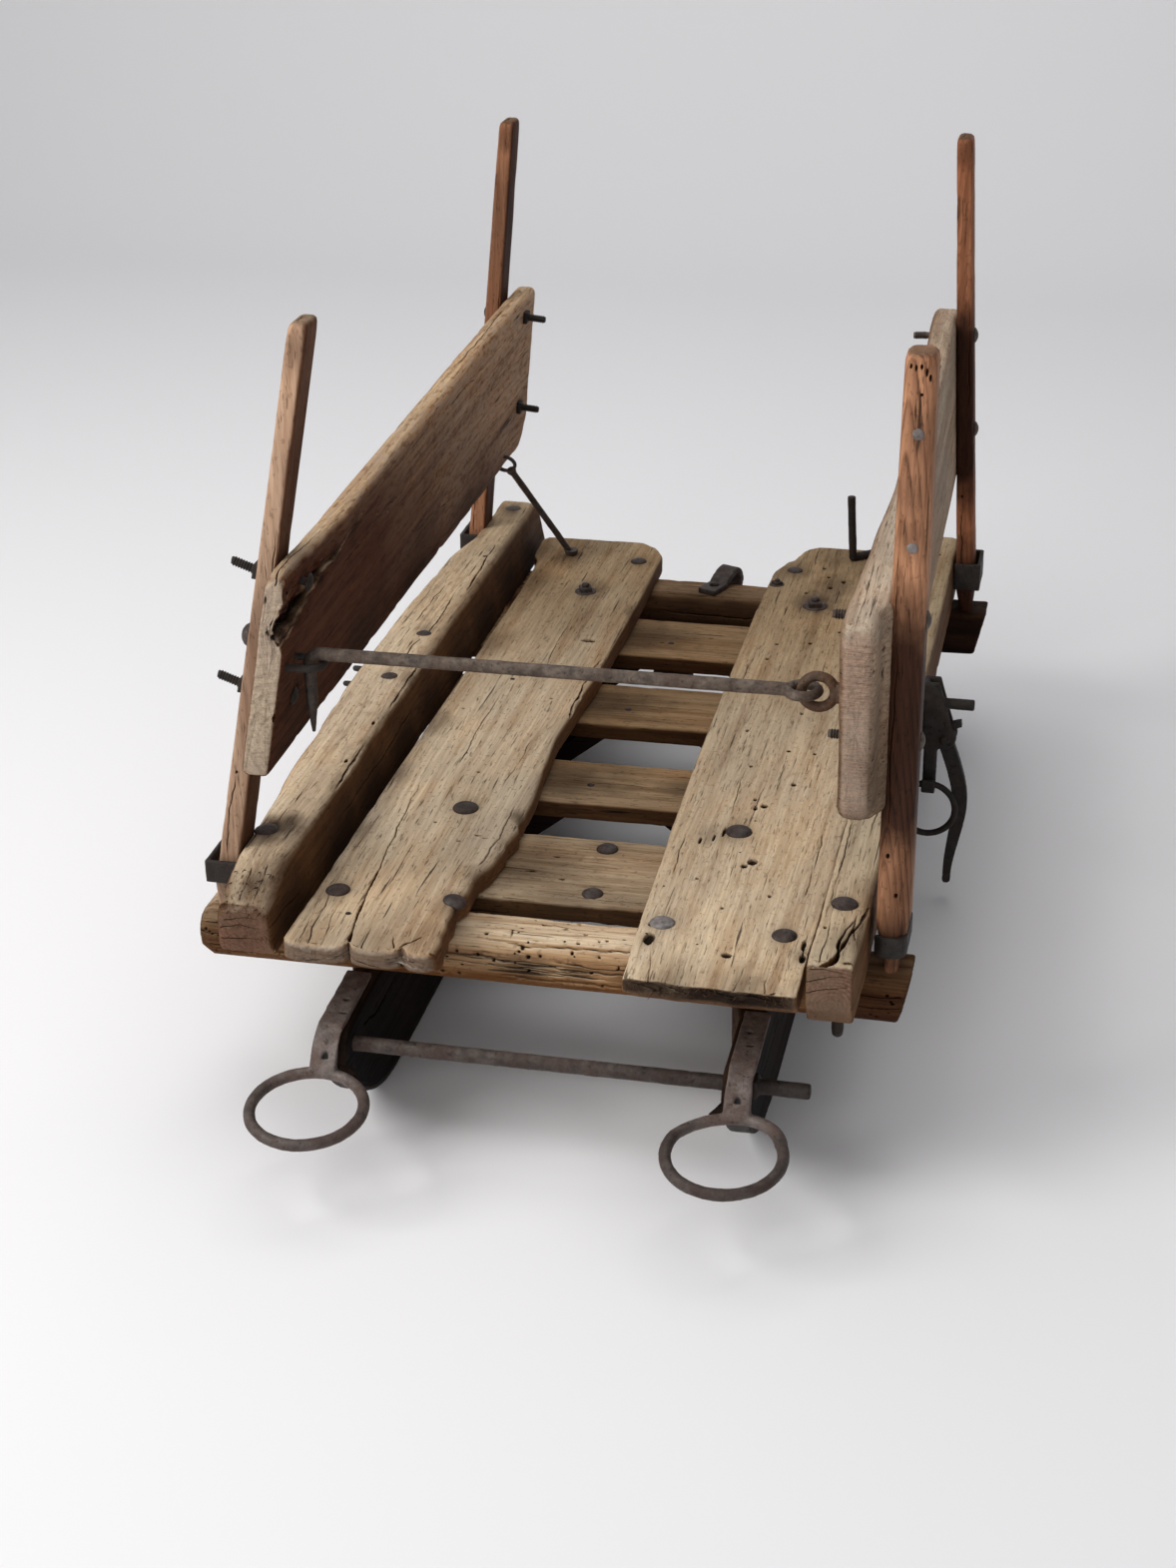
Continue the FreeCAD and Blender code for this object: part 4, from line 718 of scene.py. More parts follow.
make_wood("stake_spare", (204, 148, 110), (78, 36, 20), (178, 126, 92), (168, 132, 100), (130, 96, 70), "Z",
          10, 4.6, (366.0, 274.0), 1.0, 0.25, 0.2, fibre=0.5, rough=0.62, ring_lean=0.11)
IRON = make_iron("forged", (56, 49, 45), (88, 79, 73), (76, 50, 38), 0.5, 0.45, 0.52, 1)
IRON_STRAP = make_iron("strap", (92, 82, 77), (124, 113, 107), (96, 62, 50), 0.45, 0.35, 0.58, 4)
IRON_DARK = make_iron("dark", (28, 24, 21), (50, 44, 40), (54, 35, 24), 0.4, 0.4, 0.58, 2)
IRON_ROD = make_iron("rod", (66, 58, 51), (114, 101, 90), (84, 58, 40), 0.4, 0.45, 0.5, 3)
IRON_HEAD = make_iron("head", (46, 40, 38), (82, 74, 70), (76, 48, 34), 0.45, 0.4, 0.54, 5)
IRON_RUSTY = make_iron("rusty", (64, 48, 36), (104, 82, 62), (104, 66, 38), 0.6, 0.35, 0.56, 7)
IRON_PALE = make_iron("pale", (104, 100, 100), (150, 146, 144), (104, 78, 60), 0.3, 0.4, 0.5, 6)


# Deck boards

DECK_LOW = span("deck_board_left")[0][2]
DECK_TOP = span("deck_board_left")[1][2]


def make_deck_left():
    low, high = span("deck_board_left")
    left = follow([(-504, -207), (-200, -206), (100, -203), (300, -202), (396, -205), (412, -212),
                   (440, -215), (466, -215), (474, -210), (478, -200)])
    right = follow([(-504, -76), (-480, -76), (-451, -80), (-412, -82), (-360, -76), (-317, -71), (-271, -66),
                    (-195, -67), (-120, -73), (-63, -76), (20, -73), (100, -69), (298, -67), (441, -68),
                    (457, -75), (470, -88), (478, -102)])
    under = follow([(-504, DECK_LOW + 6), (-496, DECK_LOW + 3), (-488, DECK_LOW), (478, DECK_LOW)])
    worn = follow([(-504, 7), (-430, 6), (-300, 11), (-150, 8), (0, 5), (300, 4), (478, 5)])

    def section(s):
        ragged = 2.2 * jag_line(np.array([float(s)]), 13.0, 77)[0] * np.clip((-180.0 - s) / 60.0, 0, 1)
        return left(s), right(s) + ragged, under(s), DECK_TOP, (2.0, 3.0, worn(s), 3.0)

    lobes = follow([(-207, 9), (-202, 4), (-192, 1), (-176, 0), (-161, 2), (-155, 6), (-151, 13), (-147, 6),
                    (-141, 2), (-128, 0), (-115, 2), (-109, 6), (-105, 13), (-101, 6), (-96, 2), (-88, 1),
                    (-82, 3), (-77, 8), (-71, 17)])

    def front_edge(points):
        near = np.clip(1 - (points[:, 0] - low[1]) / 34.0, 0, 1)
        points[:, 0] += np.array([lobes(y) for y in points[:, 1]]) * near ** 1.5
        return points

    features = [
        Crack(TOP, [(-502, -151), (-490, -152), (-440, -158), (-370, -164), (-290, -170), (-190, -176)], 3.2,
              8.0, 1.1),
        Crack(TOP, [(-502, -106), (-490, -102), (-474, -94)], 3.2, 7.0, 1.2),
        Crack(TOP, [(-500, -112), (-486, -116), (-478, -117)], 1.4, 3.0, 1.0),
        Crack(TOP, [(-503, -184), (-480, -187), (-440, -190), (-400, -193)], 1.3, 1.8),
        Crack(TOP, [(-503, -172), (-470, -176), (-430, -180)], 1.1, 1.4),
        Crack(TOP, [(-503, -192), (-460, -196), (-420, -198)], 1.0, 1.4),
        Crack(TOP, [(-503, -138), (-480, -139), (-462, -140)], 1.2, 1.8),
        Crack(TOP, [(-340, -80), (-300, -77), (-260, -76), (-220, -77)], 1.6, 2.4, 1.4, True),
        Crack(TOP, [(-60, -72), (20, -74), (90, -76), (130, -72)], 2.4, 3.4, 1.8, True),
        Crack(START, [(-151, 166), (-151, 192)], 3.0, 4.0, 0.6),
        Crack(START, [(-106, 166), (-106, 192)], 2.6, 2.0, 0.5),
        Crack(START, [(-190, 175), (-172, 178)], 1.2, 0.1, 1.0, True),
        Crack(START, [(-150, 180), (-120, 176)], 1.2, 0.1, 1.0, True),
        Crack(TOP, [(60, -120), (160, -128), (240, -126)], 1.0, 1.0, 1.2, True),
        Crack(TOP, [(-150, -150), (-60, -154), (30, -152)], 1.0, 1.0, 1.2, True),
        Crack(TOP, [(-190, -100), (-120, -96), (-70, -97)], 0.9, 0.9, 1.2, True),
        Holes(TOP, [(174, -96, 4.2, 7.0), (-300, -110, 1.6, 1.4), (-120, -150, 1.5, 1.2),
                    (-268, -140, 1.8, 1.4), (20, -100, 1.8, 1.3), (330, -160, 1.8, 1.5),
                    (-20, -180, 1.4, 1.2), (-160, -128, 1.7, 1.3), (-286, -96, 1.5, 3.0),
                    (-290, -88, 1.4, 2.4)], 4.0),
    ]
    # Stains, and painted shade along the left edge, -197 to -206 across, where the deck meets the rail
    stains_and_shade = [(-496, -186, 190, 30, 0.4), (-498, -130, 190, 30, 0.32), (-480, -90, 190, 28, 0.4),
              (-450, -120, 190, 24, 0.2), (-420, -76, 188, 20, 0.6), (-360, -72, 188, 18, 0.5),
              (-230, -122, 190, 16, 0.35), (-407, -188, 190, 18, 0.4), (-410, -85, 190, 13, 0.4),
              (318, -127, 190, 20, 0.5), (413, -90, 190, 16, 0.4), (230, -105, 190, 34, 0.28),
              (418, -171, 190, 22, 0.6), (-60, -200, 188, 20, 0.5), (-300, -205, 188, 16, 0.5),
              (150, -198, 188, 24, 0.5), (330, -197, 188, 26, 0.5), (450, -150, 190, 30, 0.35),
              (430, -206, 186, 22, 0.5), (-380, -205, 188, 14, 0.4), (-180, -205, 188, 16, 0.5),
              (260, -66, 188, 12, 0.5), (-240, -68, 188, 9, 0.7)]
    return board("deck_plank_left", "deck_board_left", WOODS["deck_left"],
                 along(low[1] + 1, high[1], 6.0), section, grain_y, 101, features, stains_and_shade, 4.2, 6.0,
                 bend=front_edge)


def make_deck_right():
    low, high = span("deck_board_right")
    left = follow([(-513, 80), (-502, 80), (-419, 76), (-316, 73), (-202, 69), (-48, 66), (139, 64),
                   (293, 63), (410, 65), (440, 74), (455, 83), (478, 88), (488, 93), (498, 104)])
    right = follow([(-513, 222), (-300, 223), (0, 223), (300, 223), (498, 222)])
    under = follow([(-513, DECK_LOW + 12), (-505, DECK_LOW + 6), (-497, DECK_LOW), (498, DECK_LOW)])

    def section(s):
        return left(s), right(s), under(s), DECK_TOP, (2.5, 2.0, 2.0, 3.5)

    front = follow([(75, 3), (84, 5), (98, 3), (110, 4), (126, 1), (140, 1), (152, 2), (170, 0), (186, 1),
                    (200, 0), (214, 0), (224, 2)])

    def front_edge(points):
        near = np.clip(1 - (points[:, 0] - low[1]) / 26.0, 0, 1)
        points[:, 0] += np.array([front(y) for y in points[:, 1]]) * near
        return points

    features = [
        Holes(TOP, [(-442, 90, 9.0, 4.2), (-417, 87, 3.4, 2.4), (-456, 157, 4.5, 3.8), (-449, 218, 7.0, 2.6),
                    (-427, 216, 8.0, 1.6), (-291, 152, 5.5, 4.2), (-300, 146, 4.0, 2.6),
                    (-238, 118, 9.0, 1.3), (-250, 111, 6.5, 1.1), (-258, 100, 6.0, 1.2),
                    (-180, 145, 4.0, 3.0), (-186, 138, 4.5, 1.6), (-168, 135, 3.0, 1.4),
                    (-130, 165, 3.6, 2.2), (-98, 120, 2.6, 1.5), (-60, 175, 3.0, 1.5), (-20, 104, 3.0, 1.4),
                    (30, 150, 3.0, 1.6), (80, 110, 3.4, 1.6), (120, 170, 3.0, 1.8), (160, 96, 3.0, 1.5),
                    (210, 134, 3.4, 1.8), (246, 160, 3.0, 1.5), (300, 148, 3.4, 1.8), (352, 110, 3.0, 1.8),
                    (372, 134, 4.0, 2.0), (392, 146, 4.4, 2.0), (404, 128, 3.0, 1.6), (430, 120, 3.0, 2.2),
                    (-350, 176, 2.4, 1.4), (-330, 110, 2.2, 1.2), (-378, 140, 2.4, 1.2)], 3.6),
        Crack(TOP, [(-512, 103), (-480, 98), (-452, 93)], 1.2, 2.0),
        Crack(TOP, [(-449, 218), (-438, 217), (-427, 216)], 1.6, 3.0, 0.8, True),
        Crack(TOP, [(-330, 88), (-300, 87), (-250, 86)], 1.1, 1.4, 1.2, True),
        Crack(TOP, [(-220, 118), (-150, 116), (-100, 117)], 1.0, 1.2, 1.2, True),
        Crack(TOP, [(-360, 204), (-300, 206), (-220, 205)], 1.1, 1.3, 1.2, True),
        Crack(TOP, [(-120, 205), (-20, 207), (80, 206)], 1.1, 1.3, 1.2, True),
        Crack(TOP, [(-510, 128), (-480, 127), (-462, 128)], 1.0, 1.2),
        Crack(TOP, [(-510, 172), (-486, 173), (-470, 172)], 1.0, 1.4),
        Crack(TOP, [(-510, 196), (-494, 195), (-478, 196)], 1.2, 1.6),
        Crack(START, [(95, 186), (112, 180)], 1.2, 2.5, 1.0, True),
        Crack(START, [(120, 187), (140, 181)], 1.2, 2.5, 1.0, True),
        Crack(START, [(150, 186), (176, 182)], 1.4, 3.0, 1.0, True),
        Crack(START, [(182, 187), (210, 183)], 1.2, 2.5, 1.0, True),
    ]
    stains_and_shade = [(-235, 130, 190, 17, 0.4), (-414, 95, 190, 13, 0.35), (-412, 198, 190, 13, 0.35),
              (325, 124, 190, 26, 0.7), (417, 88, 190, 20, 0.5), (-250, 110, 190, 13, 0.35),
              (380, 140, 190, 24, 0.5), (-445, 216, 190, 9, 0.4), (-442, 90, 190, 10, 0.35),
              (440, 180, 190, 40, 0.45), (360, 200, 190, 26, 0.35), (470, 130, 190, 30, 0.4),
              (-513, 120, 184, 26, 0.5), (-513, 180, 184, 30, 0.55)]
    return board("deck_plank_right", "deck_board_right", WOODS["deck_right"],
                 along(low[1] + 1, high[1], 6.0), section, grain_y, 202, features, stains_and_shade, 4.2, 2.5,
                 bend=front_edge, rough_end=1.6)


# Rails

# Where the left rail's lower inner edge meets the deck
RAIL_SEAT = -217.5


def make_rail_left():
    low, high = span("rail_left")
    outer = follow([(-497, -265), (-452, -266), (-384, -268), (-234, -278), (-48, -285), (113, -285),
                    (292, -279), (366, -268), (506, -267)])
    inner = follow([(-497, -221), (-289, -223), (-62, -225), (181, -227), (440, -228), (490, -229),
                    (506, -230)])
    top = follow([(-497, 206), (-490, 212), (-477, 217), (-462, 222), (-444, 226), (-430, 228), (482, 228),
                  (496, 223), (502, 216), (506, 208)])
    low_edge = follow([(-497, DECK_LOW + 14), (-492, DECK_LOW + 4), (-488, DECK_LOW), (506, DECK_LOW)])
    worn = follow([(-497, 10), (-470, 15), (-430, 11), (-300, 9), (400, 9), (506, 10)])
    outer_round = follow([(-497, 8), (-470, 8), (-430, 5), (506, 5)])

    def section(s):
        return outer(s), inner(s), low_edge(s), top(s), (3.0, 3.0, worn(s), outer_round(s))

    def lean(points):
        share = np.clip((top(0.0) - points[:, 2]) / (top(0.0) - DECK_LOW), 0, 1)
        away = np.array([RAIL_SEAT - inner(s) for s in points[:, 0]])
        across = np.clip((points[:, 1] + 266) / 40.0, 0, 1)
        points[:, 1] += share * away * across
        return points

    features = [
        Crack(TOP, [(66, -243), (100, -240), (150, -241), (180, -243)], 1.6, 2.6, 1.2, True),
        Crack(TOP, [(-10, -249), (30, -247), (60, -245)], 1.6, 2.4, 1.5, True),
        Crack(TOP, [(196, -232), (240, -234), (300, -236), (340, -238)], 1.9, 3.0, 1.4, True),
        Crack(TOP, [(100, -262), (150, -262), (210, -260)], 1.2, 1.6, 1.5, True),
        Crack(TOP, [(-330, -250), (-280, -251)], 0.9, 1.0, 0.8, True),
        Crack(TOP, [(-290, -226), (-240, -227), (-200, -227)], 1.1, 1.4, 1.0, True),
        Crack(TOP, [(-110, -228), (-60, -229), (0, -230)], 1.1, 1.4, 1.0, True),
        Crack(HIGH_Y, [(-490, 196), (-440, 192), (-380, 188)], 1.6, 0.1, 1.5),
        Crack(HIGH_Y, [(-300, 200), (-180, 198), (-60, 201)], 1.4, 0.1, 1.5, True),
        Crack(START, [(-262, 192), (-246, 196), (-225, 194)], 1.2, 0.1, 1.0),
        Crack(START, [(-262, 182), (-240, 184), (-224, 183)], 1.2, 0.1, 1.0),
        Crack(START, [(-258, 200), (-240, 204), (-226, 203)], 1.2, 0.1, 1.0),
        Crack(TOP, [(-488, -248), (-470, -247), (-446, -249)], 0.9, 1.0, 1.0, True),
        Crack(TOP, [(-484, -236), (-462, -235), (-440, -236)], 0.9, 1.0, 1.0, True),
        Holes(TOP, [(-236, -232, 4.0, 1.4), (-150, -232, 4.0, 1.2)], 1.6),
    ]
    # Stains, and painted shade on the inner foot, -221 to -222 across, where the rail meets the deck
    stains_and_shade = [(-378, -256, 228, 15, 1.0), (-366, -244, 228, 12, 0.8), (-466, -240, 218, 17, 0.75),
              (-440, -226, 222, 16, 0.5), (-31, -252, 228, 9, 0.4), (83, -247, 228, 9, 0.5),
              (458, -247, 228, 14, 0.8), (-478, -238, 224, 28, 0.5), (-452, -228, 222, 24, 0.5),
              (-480, -262, 218, 26, 0.45), (-36, -228, 224, 10, 0.5), (-497, -240, 190, 20, 0.35),
              (-440, -221, 186, 30, 0.6), (430, -222, 176, 40, 0.8)]
    # Painted shade: its inner foot, where it meets the deck, is darkened all along
    stains_and_shade += [(y, -222, 178, 40, 0.7) for y in (-300, -200, -100)]
    stains_and_shade += [(y, -222, 176, 40, 0.7) for y in (0, 110, 220, 330)]
    return board("rail_beam_left", "rail_left", WOODS["rail"],
                 along(low[1] + 1, high[1], 6.0), section, grain_y, 303, features, stains_and_shade, 4.2, 4.0,
                 chips=1.8, swell=0.8, relief=0.5, bend=lean, rough_end=1.2)


def make_rail_right():
    low, high = span("rail_right")
    inner = follow([(-516, 229), (-300, 229), (468, 228)])
    outer = follow([(-516, 266), (-440, 268), (200, 267), (468, 266)])
    top = follow([(-516, 222), (-506, 224), (462, 224), (468, 222)])
    low_edge = follow([(-516, DECK_LOW + 24), (-509, DECK_LOW + 10), (-504, DECK_LOW), (468, DECK_LOW)])
    worn = follow([(-516, 4), (-490, 7), (-450, 11), (-410, 9), (-360, 6), (468, 5)])

    def section(s):
        return inner(s), outer(s), low_edge(s), top(s), (3.0, 3.0, worn(s), 3.5)

    features = [
        Crack(TOP, [(-515, 240), (-510, 248), (-500, 252), (-478, 256), (-452, 261), (-426, 265),
                    (-396, 268)], 7.0, 12.0, 2.4),
        Crack(TOP, [(-500, 252), (-480, 250), (-456, 252), (-440, 256)], 3.0, 6.0, 2.0, True),
        Crack(TOP, [(-470, 262), (-452, 258), (-430, 260)], 1.8, 4.0, 1.4, True),
        Crack(TOP, [(-510, 238), (-440, 239), (-380, 238)], 1.1, 1.3),
        Crack(TOP, [(-440, 234), (-340, 236), (-250, 235)], 1.1, 1.3, 1.2, True),
        Crack(TOP, [(-300, 252), (-200, 254), (-80, 252)], 1.0, 1.2, 1.2, True),
        Crack(START, [(229, 196), (246, 202), (266, 206)], 1.2, 0.1, 1.0),
        Crack(START, [(229, 206), (248, 212), (264, 214)], 1.2, 0.1, 1.0),
        Crack(START, [(232, 218), (246, 219), (262, 216)], 1.6, 0.1, 1.0),
        Holes(TOP, [(406, 247, 3.6, 3.2), (-455, 236, 2.0, 1.4), (-200, 240, 2.0, 1.4)], 3.6),
    ]
    stains_and_shade = [(-411, 246, 224, 11, 0.4), (-380, 264, 222, 18, 0.35), (-470, 256, 222, 14, 0.45)]
    return board("rail_beam_right", "rail_right", WOODS["rail_right"],
                 along(low[1] + 1, high[1], 6.0), section, grain_y, 404, features, stains_and_shade, 4.2, 2.5,
                 chips=1.8, rough_end=1.0)


# Slats and beams across the runners

def make_slat(node, seed, features=(), stains_and_shade=()):
    low, high = span(node)

    def section(s):
        return low[1], high[1], low[2], high[2], (2.5, 2.5, 3.5, 3.5)

    return board("slat_" + node.split("_")[1], node, WOODS["bench"],
                 along(low[0], high[0], 8.0), section, grain_x, seed, features, stains_and_shade, 5.0, 2.0)


def make_slats():
    # On each slat the patch at -60 across is the left deck board's painted shadow; the rest are stains
    make_slat("bench_front", 505, [
        Crack(TOP, [(-26, -268), (-10, -266), (14, -264)], 1.8, 2.0, 1.4, True),
        Crack(TOP, [(20, -263), (40, -262), (66, -261)], 1.4, 1.6, 1.2, True),
        Crack(TOP, [(-40, -300), (-20, -301)], 1.2, 1.2, 1.0, True),
        Crack(TOP, [(-30, -338), (30, -341), (90, -340)], 1.2, 1.2, 1.2, True),
        Holes(TOP, [(-28, -268, 3.0, 1.6), (-44, -300, 5.0, 1.4), (-14, -310, 2.6, 1.4)], 2.0),
    ], [(12, -240, 166, 12, 0.35), (16, -326, 166, 12, 0.4), (-60, -290, 166, 44, 0.6),
        (0, -348, 166, 26, 0.5), (50, -350, 166, 26, 0.45)])
    make_slat("bench_second", 606, [Crack(TOP, [(-60, -110), (40, -113)], 1.0, 1.0, 1.2, True)],
              [(-60, -110, 166, 40, 0.7), (60, -110, 166, 16, 0.5)])
    make_slat("bench_third", 707, [Crack(TOP, [(-40, 70), (60, 74)], 1.0, 1.0, 1.2, True)],
              [(-60, 70, 166, 40, 0.7)])
    make_slat("bench_rear", 808, [Holes(TOP, [(20, 262, 2.4, 1.6), (-30, 240, 2.0, 1.4)], 2.4)],
              [(-60, 250, 166, 40, 0.7)])


def make_beam(node, name, seed, nose, features, stains_and_shade, material, levels=3):
    low, high = span(node)

    def section(s):
        worn = np.clip(1 - (s - low[0]) / 10.0, 0, 1) * 6.0
        return low[1] + worn * 0.3, high[1], low[2] + worn, high[2] - worn - 0.4, (nose, 3.0, 3.0, nose)

    def slant(points):
        near = np.clip((points[:, 0] - (high[0] - 60)) / 60.0, 0, 1)
        points[:, 0] -= near * (high[2] - points[:, 2]) / (high[2] - low[2]) * 11.0
        return points

    return board(name, node, material, along(low[0], high[0], 7.0), section, grain_x, seed,
                 features, stains_and_shade, 4.0, 3.0, bend=slant, relief=0.7, levels=levels, chips=2.2, rough_end=1.2)


def worms(rng, count, u_range, v_range):
    """Wormholes strewn over part of a face."""
    us = rng.uniform(*u_range, count)
    vs = rng.uniform(*v_range, count)
    sizes = rng.uniform(0.8, 1.5, count)
    return [(u, v, size * 1.15, size) for u, v, size in zip(us, vs, sizes)]


def make_beams():
    rng = np.random.default_rng(71)
    front_features = [
        Crack(LOW_Y, [(-120, 151), (-60, 149), (-10, 145), (50, 143), (96, 145)], 3.0, 5.0, 1.6, True),
        Crack(LOW_Y, [(-96, 143), (-30, 140), (40, 138)], 2.0, 3.5, 1.6, True),
        Crack(LOW_Y, [(-40, 132), (10, 131), (70, 133)], 1.6, 2.4, 1.6, True),
        Crack(LOW_Y, [(-309, 147), (-240, 143), (-180, 144), (-130, 141)], 2.0, 3.0, 1.6),
        Crack(LOW_Y, [(-300, 134), (-220, 132), (-150, 133)], 1.6, 2.0, 1.6),
        Crack(LOW_Y, [(64, 132), (140, 134), (220, 130)], 1.6, 2.2, 1.6, True),
        Crack(LOW_Y, [(300, 148), (240, 147), (170, 150)], 1.0, 1.4, 1.0),
        Crack(LOW_Y, [(304, 138), (260, 137), (200, 139)], 0.9, 1.2, 1.0),
        Crack(LOW_Y, [(-90, 148), (-40, 147), (20, 146)], 1.4, 2.4, 1.4, True),
        Crack(LOW_Y, [(-60, 142), (-20, 141), (40, 142)], 1.6, 2.6, 1.4, True),
        Crack(LOW_Y, [(-30, 138), (0, 137), (50, 138)], 1.4, 2.4, 1.4, True),
        Crack(LOW_Y, [(0, 150), (40, 148), (90, 149)], 1.2, 2.0, 1.4, True),
        Crack(TOP, [(-70, -405), (0, -408), (70, -404)], 1.2, 1.4, 1.4, True),
        Crack(TOP, [(-40, -392), (30, -394), (80, -391)], 1.1, 1.2, 1.4, True),
        Crack(TOP, [(-60, -420), (0, -422), (80, -420)], 1.4, 1.6, 1.4, True),
        Crack(FINISH, [(-420, 140), (-400, 146), (-384, 150)], 1.4, 2.4, 1.0),
        Crack(FINISH, [(-404, 128), (-400, 140), (-402, 156)], 1.2, 2.0, 1.0, True),
        Holes(TOP, worms(rng, 16, (-62, 74), (-422, -384)), 2.4),
        Holes(LOW_Y, worms(rng, 70, (-305, 110), (124, 160)) + worms(rng, 20, (90, 298), (122, 160)), 2.4),
    ]
    # The front beam's patches at its left end, -300 to -200, are painted shade under the left deck board and
    # rail; the rest are stains
    make_beam("front_beam", "cross_beam_front", 909, 17.0, front_features,
              [(-292, -430, 152, 40, 0.7), (-250, -432, 160, 30, 0.6), (-200, -432, 150, 26, 0.4),
               (-20, -430, 142, 13, 0.7), (25, -430, 141, 10, 0.5), (-250, -426, 140, 24, 0.4),
               (70, -430, 140, 10, 0.4), (-300, -400, 150, 20, 0.5)], WOODS["beam"])
    make_beam("rear_beam", "cross_beam_rear", 1010, 5.0,
              [Crack(LOW_Y, [(-60, 146), (20, 142), (60, 145)], 1.6, 2.4, 1.6, True),
               Crack(HIGH_Y, [(-304, 140), (-200, 143), (-100, 140), (0, 144)], 1.8, 3.0, 1.6),
               Crack(HIGH_Y, [(300, 150), (200, 148), (120, 150)], 1.6, 2.4, 1.6)],
              [(0, 380, 146, 50, 0.6)], WOODS["beam_rear"], 2)


# Runners

# The runners are notched for the cross beams: the notch's floor, and the play round a beam
NOTCH_FLOOR = 118.0
NOTCH_GAP = 0.4


NOSE_START = -380.0
NOSE_BLEND = 50.0
NOSE_THINNER = {-1: 13.0, 1: 14.0}


def nose_trim(side, y):
    """How much thinner a runner is at its nose, where its strap covers it."""
    return np.clip((NOSE_START - y) / NOSE_BLEND, 0, 1) * NOSE_THINNER[side]


def make_runner(side, name, seed):
    node = "runner_left" if side < 0 else "runner_right"
    low, high = span(node)
    points = packed_points(node)
    lows = []
    for y in np.unique(np.round(points[:, 1], 1)):
        z = points[np.abs(points[:, 1] - y) < 0.6][:, 2].min()
        if z < high[2] * 0.62:
            lows.append((y, z))
    lows = follow(lows)
    front_low, front_high = span("front_beam")
    rear_low, rear_high = span("rear_beam")
    steps = []
    for beam_low, beam_high in ((front_low[1], front_high[1]), (rear_low[1], rear_high[1])):
        steps.append((beam_low - NOTCH_GAP, beam_high + NOTCH_GAP))
    highs = follow([(low[1], 70.0), (low[1] + 3, 92.0), (low[1] + 9, 106.0), (-508, 114.0),
                    (steps[0][0], NOTCH_FLOOR), (steps[0][1], NOTCH_FLOOR), (steps[0][1] + 0.5, high[2]),
                    (steps[1][0] - 0.5, high[2]), (steps[1][0], NOTCH_FLOOR), (high[1], NOTCH_FLOOR)])

    def section(s):
        return low[0] + nose_trim(side, s), high[0], lows(s), highs(s) - NOTCH_GAP, (2.5, 2.5, 3.0, 3.0)

    places = [steps[0][1], steps[0][1] + 0.5, steps[1][0] - 0.5, steps[1][0]]
    features = [Crack((1, side), [(-500, 84), (-460, 70), (-300, 66), (-120, 70)], 1.6, 2.4, 2.0),
                Crack((1, side), [(-60, 100), (100, 104), (300, 100)], 1.3, 1.8, 2.0, True),
                Crack((1, -side), [(-470, 96), (-440, 90), (-300, 94), (-160, 90)], 1.6, 2.4, 2.0)]
    return board(name, node, WOODS["runner"], along(low[1] + 0.5, high[1], 8.0, places),
                 section, grain_y, seed, features, [(-480, low[0], 60, 60, 0.5)], 7.0, 2.5, levels=2)


# Side boards bolted inside the stakes

SIDE_THICK = {-1: 23.0, 1: 33.0}


